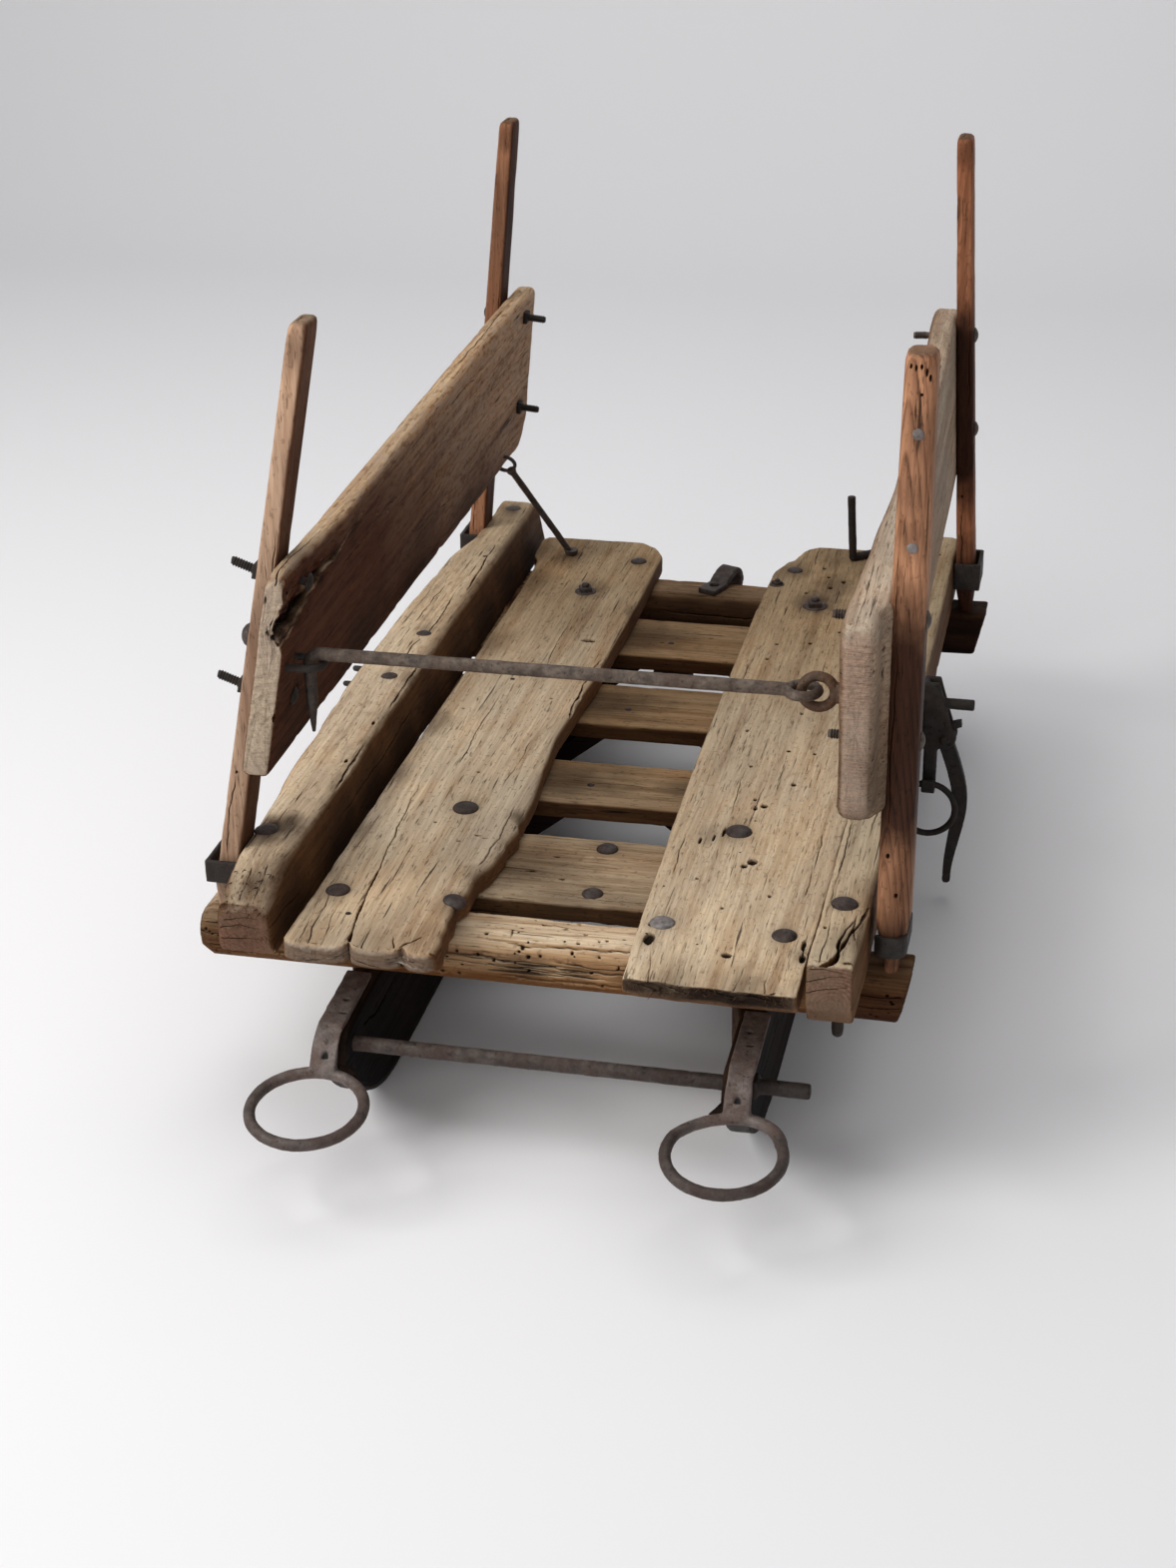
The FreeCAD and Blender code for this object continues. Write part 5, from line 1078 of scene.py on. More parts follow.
def make_side(side, name, seed):
    node = "side_board_left" if side < 0 else "side_board_right"
    low, high = span(node)
    stake_front = "stake_front_left" if side < 0 else "stake_front_right"
    stake_rear = "stake_rear_left" if side < 0 else "stake_rear_right"
    thick = SIDE_THICK[side]
    front = stake_line(stake_front)
    rear = stake_line(stake_rear)
    start = span(stake_front)[1][1]
    end = span(stake_rear)[0][1]

    def place(points):
        share = np.clip((points[:, 0] - start) / (end - start), 0, 1)
        z = points[:, 2]
        face_front = front(z)[0] - side * front(z)[1]
        face_rear = rear(z)[0] - side * rear(z)[1]
        face = face_front * (1 - share) + face_rear * share
        x = face - side * (0.6 + thick / 2) + points[:, 1]
        return np.stack([x, points[:, 0], z], axis=1)

    half = thick / 2
    if side < 0:
        top = follow([(-452, 484), (-446, 489), (-436, 491), (452, 491.5)])
        bottom = follow([(-452, 313), (-440, 312.5), (420, 312.5), (436, 320), (452, 344)])
        # The front upper edge is torn: a deep hollow under a rounded lip
        torn = follow([(-452, 14.0), (-440, 16.0), (-410, 14.0), (-380, 11.0), (-350, 8.0), (-320, 3.0),
                       (-305, 0.0), (452, 0.0)])
        hollow = follow([(-452, 446), (-420, 452), (-380, 464), (-340, 474), (-305, 480)])

        def section(s):
            return -half, half, bottom(s), top(s), (4.0, 4.0, 8.0, 8.0)

        def bend(points):
            lose = np.array([torn(s) for s in points[:, 0]])
            level = np.array([hollow(s) for s in points[:, 0]])
            deep = np.exp(-((points[:, 2] - level) / 13.0) ** 2)
            above = np.clip((points[:, 2] - level) / 10.0, 0, 1)
            inner = np.clip((points[:, 1] + half) / thick, 0, 1)
            scale = np.array([11.0, 7.0, 5.0])
            coarse = layered_noise(points / scale, seed + 61)
            ragged = 1 + 0.35 * coarse + 0.2 * jag_line(points[:, 2], 4.0, seed + 2)
            points[:, 1] -= lose * np.maximum(deep, above * 0.45) * inner * ragged
            return points

        features = [
            Crack(HIGH_Y, [(-452, 438), (-430, 442), (-400, 449), (-350, 458), (-300, 466), (-240, 470)],
                  11.0, 9.0, 2.2),
            Crack(HIGH_Y, [(-452, 430), (-436, 432), (-420, 436)], 3.0, 4.0, 2.0),
            Crack(HIGH_Y, [(-450, 468), (-440, 466), (-424, 470)], 2.0, 3.0, 1.6),
            Crack(HIGH_Y, [(-300, 440), (-200, 446), (-80, 442)], 1.2, 1.2, 1.6, True),
            Crack(HIGH_Y, [(-100, 360), (40, 364), (160, 360)], 1.1, 1.1, 1.6, True),
            Crack(HIGH_Y, [(100, 470), (220, 468), (330, 471)], 1.1, 1.1, 1.6, True),
            Holes(HIGH_Y, [(-150, 440, 2.6, 1.8), (-190, 452, 2.0, 1.4), (40, 410, 2.2, 1.5),
                           (120, 452, 2.0, 1.4), (180, 380, 2.2, 1.6), (260, 430, 2.2, 1.5),
                           (-40, 380, 1.8, 1.3), (-394, 368, 2.4, 5.0), (-436, 470, 1.6, 1.6)], 3.0),
            Holes(START, [(8, 437, 3.4, 2.6), (2, 441, 2.4, 2.0), (10, 432, 2.2, 2.4), (-8, 470, 1.4, 2.6)],
                  3.6),
            Holes(START, [(11, 366, 1.6, 3.6)], 3.0),
            Crack(TOP, [(-452, 2), (-400, 0), (-350, 3)], 2.0, 3.0, 1.4),
            Crack(TOP, [(100, -2), (240, 1), (380, -1)], 1.0, 1.2, 1.4, True),
        ]
        # Painted shade in the hollow under the torn lip, 440 to 468 high; the rest are stains
        stains_and_shade = [(-420, 11, 444, 9, 0.9), (-395, 11, 450, 9, 0.9), (-360, 11, 456, 8, 0.8),
                  (-320, 11, 462, 8, 0.6), (-270, 11, 468, 8, 0.5), (-440, 10, 440, 7, 0.8),
                  (-380, 11, 330, 40, 0.5), (-200, 11, 320, 50, 0.55), (0, 11, 318, 50, 0.5),
                  (200, 11, 320, 44, 0.5), (-394, 11, 368, 12, 0.6)]
        return board(name, node, WOODS["side_left"], along(low[1], high[1], 6.0), section,
                     place, seed, features, stains_and_shade, 4.5, 3.0, chips=1.8, bend=bend, swell=1.2, rough_end=1.4)
    top = follow([(-478, 478), (-472, 487), (-462, 491), (400, 491), (452, 488)])
    bottom = follow([(-478, 336), (-472, 330), (-452, 327), (-440, 314), (-425, 312.5), (420, 312.5),
                     (436, 320), (452, 344)])

    def section(s):
        nose = np.clip(1 - (s + 478) / 10.0, 0, 1)
        outer = half - nose * 2 - 6.0 * np.clip((-425.0 - s) / 6.0, 0, 1)
        return -half + nose * 2, outer, bottom(s), top(s), (9.0, 8.0, 7.0, 7.0)

    features = [
        Crack(START, [(11, 452), (12, 430), (11, 400)], 1.6, 2.4, 0.8),
        Holes(START, [(11, 457, 2.2, 3.2)], 3.4),
        Crack(TOP, [(-476, -6), (-420, -4), (-330, -8)], 0.8, 0.9, 0.6, True),
        Crack(TOP, [(-200, -2), (0, 2), (160, -1)], 1.0, 1.2, 1.4, True),
        Crack(LOW_Y, [(-300, 400), (-120, 404), (60, 400)], 1.2, 1.4, 1.6, True),
        Crack(LOW_Y, [(100, 350), (240, 354), (400, 350)], 1.2, 1.4, 1.6, True),
    ]
    worn_back = follow([(-478, -1), (-419, -2), (-287, 4), (-138, 11), (100, 11), (300, 8), (452, 5)])

    def wear_edge(points):
        inner = np.clip((half - points[:, 1]) / thick, 0, 1)
        back = np.array([worn_back(s) for s in points[:, 0]])
        points[:, 1] += back * inner * np.clip((points[:, 2] - 380.0) / 80.0, 0, 1)
        return points

    return board(name, node, WOODS["side_right"], along(low[1], high[1], 7.0), section, place,
                 seed, features, [(-470, 14, 372, 22, 0.3), (-478, 0, 334, 14, 0.3)], 5.0, 5.0, chips=1.8,
                 bend=wear_edge, rough_end=1.2)


# Stakes

# Stakes are measured from the deck's height up
STAKE_BASE = 192.0
STAKE_CROWN = 12.0


def stake_depth(z):
    """Half of a stake's size from front to back, which shrinks towards the top."""
    return 19.0 - 3.0 * (z - STAKE_BASE) / 490.0


def stake_line(node):
    """Centre and half thickness of a stake at any height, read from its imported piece."""
    points = packed_points(node)
    high = points[:, 2].max()
    crown = points[points[:, 2] > high - STAKE_CROWN][:, 0]
    foot = points[np.abs(points[:, 2] - STAKE_BASE) < 1.5][:, 0]
    foot_x = (foot.min() + foot.max()) / 2
    foot_half = (foot.max() - foot.min()) / 2
    crown_half = (crown.max() - crown.min()) / 2
    lean = ((crown.min() + crown.max()) / 2 - foot_x) / (high - 8.0 - STAKE_BASE)

    def value(z):
        above = np.asarray(z, float) - STAKE_BASE
        return foot_x + lean * above, foot_half + (crown_half - foot_half) * above / (high - STAKE_BASE)

    return value


def make_stake(corner, seed, finish, spare=False):
    """A stake; the right front one is a newer spare with rounder edges and a longer taper at its foot."""
    node = "stake_" + corner
    low, high = span(node)
    line = stake_line(node)
    y_mid = (low[1] + high[1]) / 2
    shoulder = DECK_LOW + (48.0 if spare else 26.0)
    taper = DECK_LOW + (12.0 if spare else 0.0)

    def section(z):
        half = 13.4 - 1.4 * np.clip((z - 530.0) / 150.0, 0, 1) if spare else float(line(z)[1])
        deep = stake_depth(z)
        share = np.clip((z - taper) / (shoulder - taper), 0, 1) ** 0.7
        half = 5.5 + (half - 5.5) * share
        deep = 12.0 + (deep - 12.0) * np.clip((z - DECK_LOW) / 26.0, 0, 1)
        round_edge = 6.5 if spare else 3.2
        round_edge = min(round_edge + 3.0 * np.clip((z - high[2] + 14) / 14, 0, 1), half - 0.5)
        return -half, half, -deep, deep, (round_edge,) * 4

    def place(points):
        x = line(points[:, 0])[0] + points[:, 1]
        return np.stack([x, y_mid + points[:, 2], points[:, 0]], axis=1)

    if spare:
        features = [
            Crack(UNDER, [(450, -6), (360, -8), (300, -6)], 0.9, 0.8, 0.8, True),
            Crack(UNDER, [(560, -8), (520, -10), (470, -9)], 0.8, 0.8, 0.8, True),
            Crack(HIGH_Y, [(250, -4), (330, -6), (420, -4)], 1.3, 1.4, 1.6, True),
            Holes(UNDER, [(676, -7, 1.8, 0.9), (675, -3, 2.4, 0.9), (676, 1, 1.8, 0.9), (672, 5, 2.8, 1.0),
                          (668, 8, 2.6, 1.1), (655, 2, 1.0, 1.3), (240, 2, 2.0, 1.4), (275, -6, 2.0, 1.3)],
                  1.8),
        ]
        # The right side board's painted shadow on the front and right faces, 322 to 436 high, over some
        # stain; the rest are stains
        stains_and_shade = [(322, 0, -19, 36, 1.0), (360, 0, -19, 42, 1.0), (398, 0, -19, 42, 1.0),
                  (436, 0, -18, 40, 1.0), (205, 0, -15, 14, 0.5), (340, 13, 0, 50, 1.0),
                  (410, 13, 0, 50, 1.0), (620, 12, -14, 20, 0.3), (575, -2, -18, 12, 0.45),
                  (548, 0, -18, 10, 0.4), (470, -9, -18, 24, 0.5), (194, 0, -14, 28, 0.75),
                  (380, 0, -19, 60, 0.9), (250, 8, -18, 24, 0.5), (215, -6, -16, 18, 0.4),
                  (282, -8, -18, 20, 0.35), (228, 0, -16, 16, 0.3), (470, 0, -18, 20, 0.6)]
    else:
        features = [Crack(UNDER, [(400, 4), (460, 6), (520, 5)], 1.0, 0.9, 1.4, True),
                    Crack(UNDER, [(220, -3), (260, -4), (300, -3)], 1.0, 0.9, 1.4, True),
                    Crack(FINISH, [(-3, -8), (-2, 8)], 1.0, 1.2, 1.0, True),
                    Holes(UNDER, [(300, -3, 1.4, 0.9)], 1.6)]
        stains_and_shade = [(664, 0, -15, 12, 0.5), (196, 0, -19, 14, 0.4), (430, 9, -10, 22, 0.3)]
        if finish == "stake_rear":
            stains_and_shade += [(z, 0, -19, 44, 0.5) for z in (480, 530, 580)]
        if finish == "stake_red":
            # The right side board's painted shadow across the front face, 345 to 462 high, and a stained foot
            # at 182 and 196
            stains_and_shade += [(z, 0, -19, 34, 1.0) for z in (182, 196, 345, 375, 405, 435, 462)]
    return board("stake_post_" + corner, node, WOODS[finish],
                 along(low[2], high[2], 6.0, (DECK_LOW, shoulder)), section, place, seed, features, stains_and_shade,
                 3.6, 5.0, chips=0.9, relief=0.3, swell=0.5)


# Forged iron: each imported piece, eased

def forged(name, node, material, voxel, dent, seed, body="sled", holes=(), reshape=None,
           thin=0.0, darker=None):
    """A packed iron piece with its edges hammered soft, its holes sunk in and its shape eased."""
    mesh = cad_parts[node].data.copy()
    piece = add_object(name, mesh)
    bm = bmesh.new()
    bm.from_mesh(mesh)
    bmesh.ops.remove_doubles(bm, verts=list(bm.verts), dist=0.00002)
    bm.to_mesh(mesh)
    bm.free()
    remesh = piece.modifiers.new("remesh", "REMESH")
    remesh.mode = "VOXEL"
    remesh.voxel_size = voxel * MM
    smooth = piece.modifiers.new("soften", "SMOOTH")
    smooth.iterations = 2
    smooth.factor = 0.5
    shaped = bpy.data.meshes.new_from_object(piece.evaluated_get(bpy.context.evaluated_depsgraph_get()))
    piece.modifiers.clear()
    piece.data = shaped
    shaped.name = name
    points = vertex_places(shaped)
    normals = np.array([v.normal for v in shaped.vertices])
    coarse = layered_noise(points / 9.0, seed, 2)
    fine = layered_noise(points / 2.6, seed + 3, 2)
    push = coarse * dent + fine * dent * 0.35
    sunk = np.zeros(len(points))
    for x, y, z, reach_x, reach_y, depth in holes:
        away = np.hypot((points[:, 0] - x) / reach_x, (points[:, 1] - y) / reach_y)
        inside = np.clip(1.25 - away, 0, 1) * (normals[:, 2] > 0.3) * (np.abs(points[:, 2] - z) < 6)
        sunk = np.maximum(sunk, inside)
        push -= inside * depth
    points += normals * (push - thin)[:, None]
    if reshape:
        points = reshape(points)
    shaped.vertices.foreach_set("co", to_frame(points).ravel())
    layer = shaped.attributes.new("wear_and_shade", "FLOAT_COLOR", "POINT")
    marks = np.zeros((len(points), 4))
    marks[:, 0] = sunk
    if darker:
        axis, begin, end, amount = darker
        marks[:, 1] = np.clip((points[:, axis] - begin) / (end - begin), 0, 1) * amount
    layer.data.foreach_set("color", marks.ravel())
    shaped.polygons.foreach_set("use_smooth", [True] * len(shaped.polygons))
    shaped.materials.clear()
    shaped.materials.append(material)
    shaped.update()
    return hand_in(piece, body, node)


# Bolt heads, nuts, nails, threads and slivers: small shapes set on points by Geometry Nodes

def turned_shape(name, profile, sides, smooth=True):
    """A small closed shape round Z, from pairs of radius and height in millimetres."""
    bm = bmesh.new()
    rings = []
    for radius, height in profile:
        if radius == 0:
            rings.append([bm.verts.new((0, 0, height * MM))])
            continue
        turns = [(k + 0.5) * 2 * math.pi / sides for k in range(sides)]
        rings.append([bm.verts.new((radius * MM * math.cos(t), radius * MM * math.sin(t),
                                    height * MM)) for t in turns])
    for below, above in zip(rings[:-1], rings[1:]):
        for k in range(sides):
            n = (k + 1) % sides
            corners = [below[k % len(below)], below[n % len(below)], above[n % len(above)],
                       above[k % len(above)]]
            bm.faces.new(list(dict.fromkeys(corners))).smooth = smooth
    bmesh.ops.recalc_face_normals(bm, faces=list(bm.faces))
    mesh = bpy.data.meshes.new(name)
    bm.to_mesh(mesh)
    bm.free()
    return add_object(name, mesh)


def setting_tree():
    """Sets a small shape on every point, turned and sized by the point's own values."""
    tree = bpy.data.node_groups.new("set_on_points", "GeometryNodeTree")
    new = tree.interface.new_socket
    new("Geometry", in_out="INPUT", socket_type="NodeSocketGeometry")
    sockets = {}
    for label, kind in (("Small shape", "Object"), ("Size", "Float"), ("Size spread", "Float"),
                        ("Seed", "Int"), ("Finish", "Material")):
        sockets[label] = new(label, in_out="INPUT", socket_type="NodeSocket" + kind).identifier
    new("Geometry", in_out="OUTPUT", socket_type="NodeSocketGeometry")
    nodes, links = tree.nodes, tree.links
    start = nodes.new("NodeGroupInput")
    finish = nodes.new("NodeGroupOutput")
    info = nodes.new("GeometryNodeObjectInfo")
    place = nodes.new("GeometryNodeInstanceOnPoints")
    turn, stretch = [nodes.new("GeometryNodeInputNamedAttribute") for number in range(2)]
    for node, label in ((turn, "turn"), (stretch, "stretch")):
        node.data_type = "FLOAT_VECTOR"
        node.inputs["Name"].default_value = label
    chance = nodes.new("FunctionNodeRandomValue")
    least = nodes.new("ShaderNodeMath")
    least.operation = "SUBTRACT"
    most = nodes.new("ShaderNodeMath")
    most.operation = "ADD"
    scale = nodes.new("ShaderNodeVectorMath")
    scale.operation = "SCALE"
    realize = nodes.new("GeometryNodeRealizeInstances")
    paint = nodes.new("GeometryNodeSetMaterial")
    for source, label, target, socket in (
            (start, "Small shape", info, "Object"), (start, "Geometry", place, "Points"),
            (info, "Geometry", place, "Instance"), (turn, "Attribute", place, "Rotation"),
            (start, "Size", least, 0), (start, "Size spread", least, 1),
            (start, "Size", most, 0), (start, "Size spread", most, 1),
            (least, 0, chance, 2), (most, 0, chance, 3), (start, "Seed", chance, "Seed"),
            (stretch, "Attribute", scale, 0), (chance, 1, scale, "Scale"), (scale, 0, place, "Scale"),
            (place, "Instances", realize, "Geometry"), (realize, "Geometry", paint, "Geometry"),
            (start, "Finish", paint, "Material"), (paint, "Geometry", finish, "Geometry")):
        links.new(source.outputs[label], target.inputs[socket])
    return tree, sockets


SETTING, SETTING_SOCKETS = setting_tree()


def set_shapes(name, shape, spots, material, spread=0.04, seed=1):
    """One piece of many small shapes: place, facing, spin in degrees and stretch of each."""
    mesh = bpy.data.meshes.new(name)
    mesh.from_pydata([tuple(to_frame(spot[0])) for spot in spots], [], [])
    turns = []
    for place, facing, spin, stretch in spots:
        turn = Vector(facing).to_track_quat("Z", "Y").to_matrix()
        turn = turn @ Matrix.Rotation(math.radians(spin), 3, "Z")
        turns.append(tuple(turn.to_euler()))
    for label, values in (("turn", turns), ("stretch", [spot[3] for spot in spots])):
        layer = mesh.attributes.new(label, "FLOAT_VECTOR", "POINT")
        layer.data.foreach_set("vector", np.array(values, float).ravel())
    piece = add_object(name, mesh)
    modifier = piece.modifiers.new("set", "NODES")
    modifier.node_group = SETTING
    for key, value in (("Small shape", shape), ("Size", 1.0), ("Size spread", spread), ("Seed", seed),
                       ("Finish", material)):
        modifier[SETTING_SOCKETS[key]] = value
    made = bpy.data.meshes.new_from_object(piece.evaluated_get(bpy.context.evaluated_depsgraph_get()))
    piece.modifiers.clear()
    piece.data = made
    made.name = name
    return hand_in(piece, "sled")


EVEN = (1.0, 1.0, 1.0)
UP = (0, 0, 1)
DOME = [(0, -2.5), (9.6, -2.5), (11.0, -0.6), (11.2, 0.5), (10.6, 1.6), (8.8, 2.9), (5.6, 3.9), (2.4, 4.3),
        (0, 4.4)]
WASHER = [(0, -1.0), (11.6, -1.0), (12.0, 0.2), (11.4, 1.1), (0, 1.1)]
NUT = [(0, 0.4), (10.4, 0.4), (10.8, 1.2), (10.8, 4.8), (9.2, 6.2), (0, 6.2)]
BOLT_END = [(0, 5.4), (4.2, 5.4), (4.2, 8.6), (3.4, 9.6), (0, 9.8)]
NAIL = [(0, -1.0), (3.0, -1.0), (3.4, -0.1), (3.1, 0.5), (1.6, 0.9), (0, 1.0)]
RIVET = [(0, -1.0), (4.6, -1.0), (5.0, 0.2), (4.4, 1.1), (2.6, 1.5), (0, 1.6)]
STUB = [(0, -14.0), (5.0, -14.0), (5.0, 0.0), (4.4, 1.6), (2.0, 2.2), (0, 2.3)]
THREAD = [(0, -0.7), (3.4, -0.7), (4.3, 0.0), (3.4, 0.7), (0, 0.7)]
SLIVER = [(0, 0.0), (0.34, 2.0), (0.42, 5.0), (0.24, 9.0), (0, 12.0)]


def make_fasteners():
    shapes = []

    def shape(name, profile, sides, smooth=True):
        made = turned_shape(name, profile, sides, smooth)
        shapes.append(made)
        return made

    dome = shape("dome", DOME, 22)
    deck_z, rail_z, bench_z = DECK_TOP - 0.2, span("rail_left")[1][2] - 0.6, span("bench_front")[1][2] - 0.2
    domes = [((-120.3, -236.4, deck_z), (0.02, 0, 1), 10, (1.08, 1.04, 1.0)),
             ((-186.9, -410.2, deck_z), (-0.03, 0.02, 1), 40, (0.98, 0.94, 0.9)),
             ((-84.0, -409.0, deck_z - 0.9), (0.22, 0, 1), 70, (0.9, 0.88, 1.0)),
             ((-90.0, 413.0, deck_z), (0, 0.03, 1), 15, (0.8, 0.78, 0.8)),
             ((131.3, -236.5, deck_z), (0.03, 0, 1), 30, (1.06, 1.04, 1.05)),
             ((198.2, -415.8, deck_z), (0, -0.02, 1), 85, (0.98, 0.98, 0.9)),
             ((88.0, 417.0, deck_z), (0.02, 0.02, 1), 5, (0.8, 0.8, 0.8)),
             ((246.6, -414.2, span("rail_right")[1][2] - 0.3), (0.02, 0, 1), 50, (0.98, 0.96, 0.9)),
             ((13.2, -245.6, bench_z), (0, 0, 1), 0, (0.86, 0.84, 0.9)),
             ((18.2, -331.7, bench_z), (0, 0, 1), 33, (0.86, 0.84, 0.9)),
             ((-257.6, -384.0, rail_z), (-0.08, 0, 1), 12, (0.98, 0.96, 0.9)),
             ((-249.0, -40.0, rail_z), (0, 0, 1), 50, (0.78, 0.74, 0.5)),
             ((-245.4, 72.0, rail_z), (0, 0, 1), 20, (0.72, 0.7, 0.5)),
             ((-247.0, 458.0, rail_z), (0, 0, 1), 20, (0.85, 0.8, 0.4)),
             ((247.0, 60.0, span("rail_right")[1][2] - 0.4), (0, 0, 1), 20, (0.8, 0.8, 0.7))]
    set_shapes("bolt_heads", dome, domes, IRON_HEAD, seed=3)
    set_shapes("bolt_head_pale", dome, [((95.7, -413.8, deck_z), (0, 0.02, 1), 0, (0.96, 0.96, 0.95))],
               IRON_PALE, seed=4)
    nuts = [((-129.5, 311.9, deck_z), UP, 20, (0.98, 0.98, 1.0)),
            ((124.6, 314.3, deck_z), UP, 12, (1.1, 1.1, 1.1)),
            ((74.6, 371.8, deck_z), UP, 38, (0.7, 0.7, 0.7))]
    set_shapes("bolt_washers", shape("washer", WASHER, 22), nuts, IRON_HEAD, seed=5)
    square = [(place, facing, spin, tuple(0.86 * s for s in stretch[:2]) + (stretch[2],))
              for place, facing, spin, stretch in nuts]
    set_shapes("bolt_nuts", shape("nut", NUT, 4, False), square, IRON_HEAD, seed=6)
    set_shapes("bolt_ends", shape("bolt_end", BOLT_END, 12), nuts, IRON_HEAD, seed=7)
    nails = [((x, y, z), UP, 0, (wide, wide, 1)) for x, y, z, wide in (
        (-166.0, -448.0, deck_z, 0.8), (150.0, -60.0, deck_z, 0.7), (-150.0, 60.0, deck_z, 0.7),
        (206.0, 120.0, deck_z, 0.8), (100.0, 200.0, deck_z, 0.7), (-240.0, 300.0, rail_z, 0.8),
        (-30.0, -118.0, bench_z, 1), (70.0, -96.0, bench_z, 1), (-30.0, 60.0, bench_z, 1),
        (60.0, 90.0, bench_z, 1), (-20.0, 240.0, bench_z, 1), (70.0, 270.0, bench_z, 1))]
    set_shapes("nail_heads", shape("nail", NAIL, 12), nails, IRON_DARK, seed=8)
    # Two plugs in the spare stake, and a round head outside the front left one
    spare = stake_line("stake_front_right")
    rivets = []
    for z in (625.0, 536.0):
        y = (span("stake_front_right")[0][1] + span("stake_front_right")[1][1]) / 2 - stake_depth(z)
        rivets.append(((float(spare(z)[0]) + 1.0, y + 0.3, z), (0, -1, 0), 0, (0.95, 0.95, 0.8)))
    set_shapes("stake_rivets", shape("rivet", RIVET, 16), rivets, IRON_PALE, seed=9)
    left = stake_line("stake_front_left")
    outer = float(left(418.0)[0]) - float(left(418.0)[1])
    set_shapes("stake_head", dome, [((outer + 0.3, -404.0, 418.0), (-1, 0, 0.05), 0, (0.95, 0.95, 2.1))],
               IRON_HEAD, seed=10)
    # Bolt ends that stick out under the right rail and beside the left one
    stub = shape("stub", STUB, 14)
    set_shapes("rail_bolt_end", stub, [((247.0, -438.0, 121.0), (0, 0, -1), 0, (1.0, 1.0, 3.4))], IRON_DARK,
               seed=11)
    rods = [((-300.0, 16.0, 208.0), (-1, 0, 0.06), 0, (0.6, 0.6, 2.0)),
            ((-300.0, -18.0, 206.0), (-1, 0, 0.02), 0, (0.6, 0.6, 2.0))]
    set_shapes("rail_rod_ends", stub, rods, IRON_DARK, seed=12)
    # Thread turns on the bolts that hold the side boards
    turns = []
    for node in ("stake_front_left", "stake_rear_left", "stake_front_right", "stake_rear_right"):
        turns += thread_turns(node)
    set_shapes("bolt_threads", shape("thread", THREAD, 12), turns, IRON_DARK, spread=0.0, seed=13)
    # Torn fibres on the worn ends
    sliver = shape("sliver", SLIVER, 4)
    frays = [("rail_slivers", rail_fray, 60, "rail", "weathered_wood"),
             ("deck_slivers", deck_fray, 70, "deck_right", "weathered_wood"),
             ("board_slivers", board_fray, 60, "side_left", "board_wood")]
    for number, (name, draw, count, wood, slot) in enumerate(frays):
        set_shapes(name, sliver, sliver_spots(draw, count, 31 + number), WOODS[wood], spread=0.35,
                   seed=14 + number)
    for made in shapes:
        bpy.data.objects.remove(made)


# The side boards' bolts: their heights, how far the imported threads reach, how far the right ones show,
# the space between thread turns, and how the left front ones rise from where they leave the nut
BOLT_LEVELS = (370.0, 472.0)
BOLT_REACH = 24.0
RIGHT_REACH = 13.0
THREAD_PITCH = 2.2
BOLT_LIFT = 0.16
LIFT_START = 5.0
# What lies this near to a bolt's line, and within this reach of its root, belongs to it
BOLT_ZONE = 14.0
BOLT_END_ZONE = 30.0


def bolt_rod(node, z):
    """Root and direction of a side board's free bolt thread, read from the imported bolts."""
    side = -1 if "left" in node else 1
    way = side if node == "stake_front_left" else -side
    low, high = span(node)
    middle = (low[1] + high[1]) / 2
    points = packed_points("side_bolts_left" if side < 0 else "side_bolts_right")
    near = points[(np.abs(points[:, 1] - middle) < 20) & (np.abs(points[:, 2] - z) < 25)]
    tip = near[near[:, 0] * way > (near[:, 0] * way).max() - 1.5].mean(axis=0)
    line = stake_line(node)
    slope = (float(line(z + 10)[0]) - float(line(z)[0])) / 10
    out = np.array([way, 0, -way * slope]) / math.hypot(1, slope)
    tip[1] = middle
    return tip - out * BOLT_REACH, out


def thread_turns(node):
    turns = []
    squeeze = RIGHT_REACH / BOLT_REACH if "right" in node else 1.0
    lift = BOLT_LIFT if node == "stake_front_left" else 0.0
    first = 6.0 if squeeze == 1.0 else 1.0
    for z in BOLT_LEVELS:
        root, way = bolt_rod(node, z)
        for place in np.arange(first, BOLT_REACH * squeeze - 1.0, THREAD_PITCH):
            spot = root + way * place + np.array([0, 0, max(place - LIFT_START, 0) * lift])
            turns.append((tuple(spot), tuple(way + np.array([0, 0, lift])), place * 25, EVEN))
    return turns


def trim_bolts(points):
    """The right board's bolts show no nut, only a short thread."""
    for node in ("stake_front_right", "stake_rear_right"):
        for z in BOLT_LEVELS:
            root, way = bolt_rod(node, z)
            away = (points - root) @ way
            spread = points - root - away[:, None] * way
            wide = np.linalg.norm(spread, axis=1)
            near = (wide < BOLT_ZONE) & (away > -0.2) & (away < BOLT_END_ZONE)
            narrow = np.minimum(1, 3.5 / np.maximum(wide, 0.1))
            moved = root + (away * RIGHT_REACH / BOLT_REACH)[:, None] * way + spread * narrow[:, None]
            points[near] = moved[near]
    return points


def lift_bolts(points):
    """The left front bolts point upwards where they stick out."""
    for z in BOLT_LEVELS:
        root, way = bolt_rod("stake_front_left", z)
        away = (points - root) @ way
        wide = np.linalg.norm(points - root - away[:, None] * way, axis=1)
        near = (wide < BOLT_ZONE) & (away > LIFT_START) & (away < BOLT_END_ZONE)
        points[near, 2] += (away[near] - LIFT_START) * BOLT_LIFT
    return points


STAPLE_BEND = 13.0
STAPLE_NARROWER = 0.86
STAPLE_HIGHER = 4.0


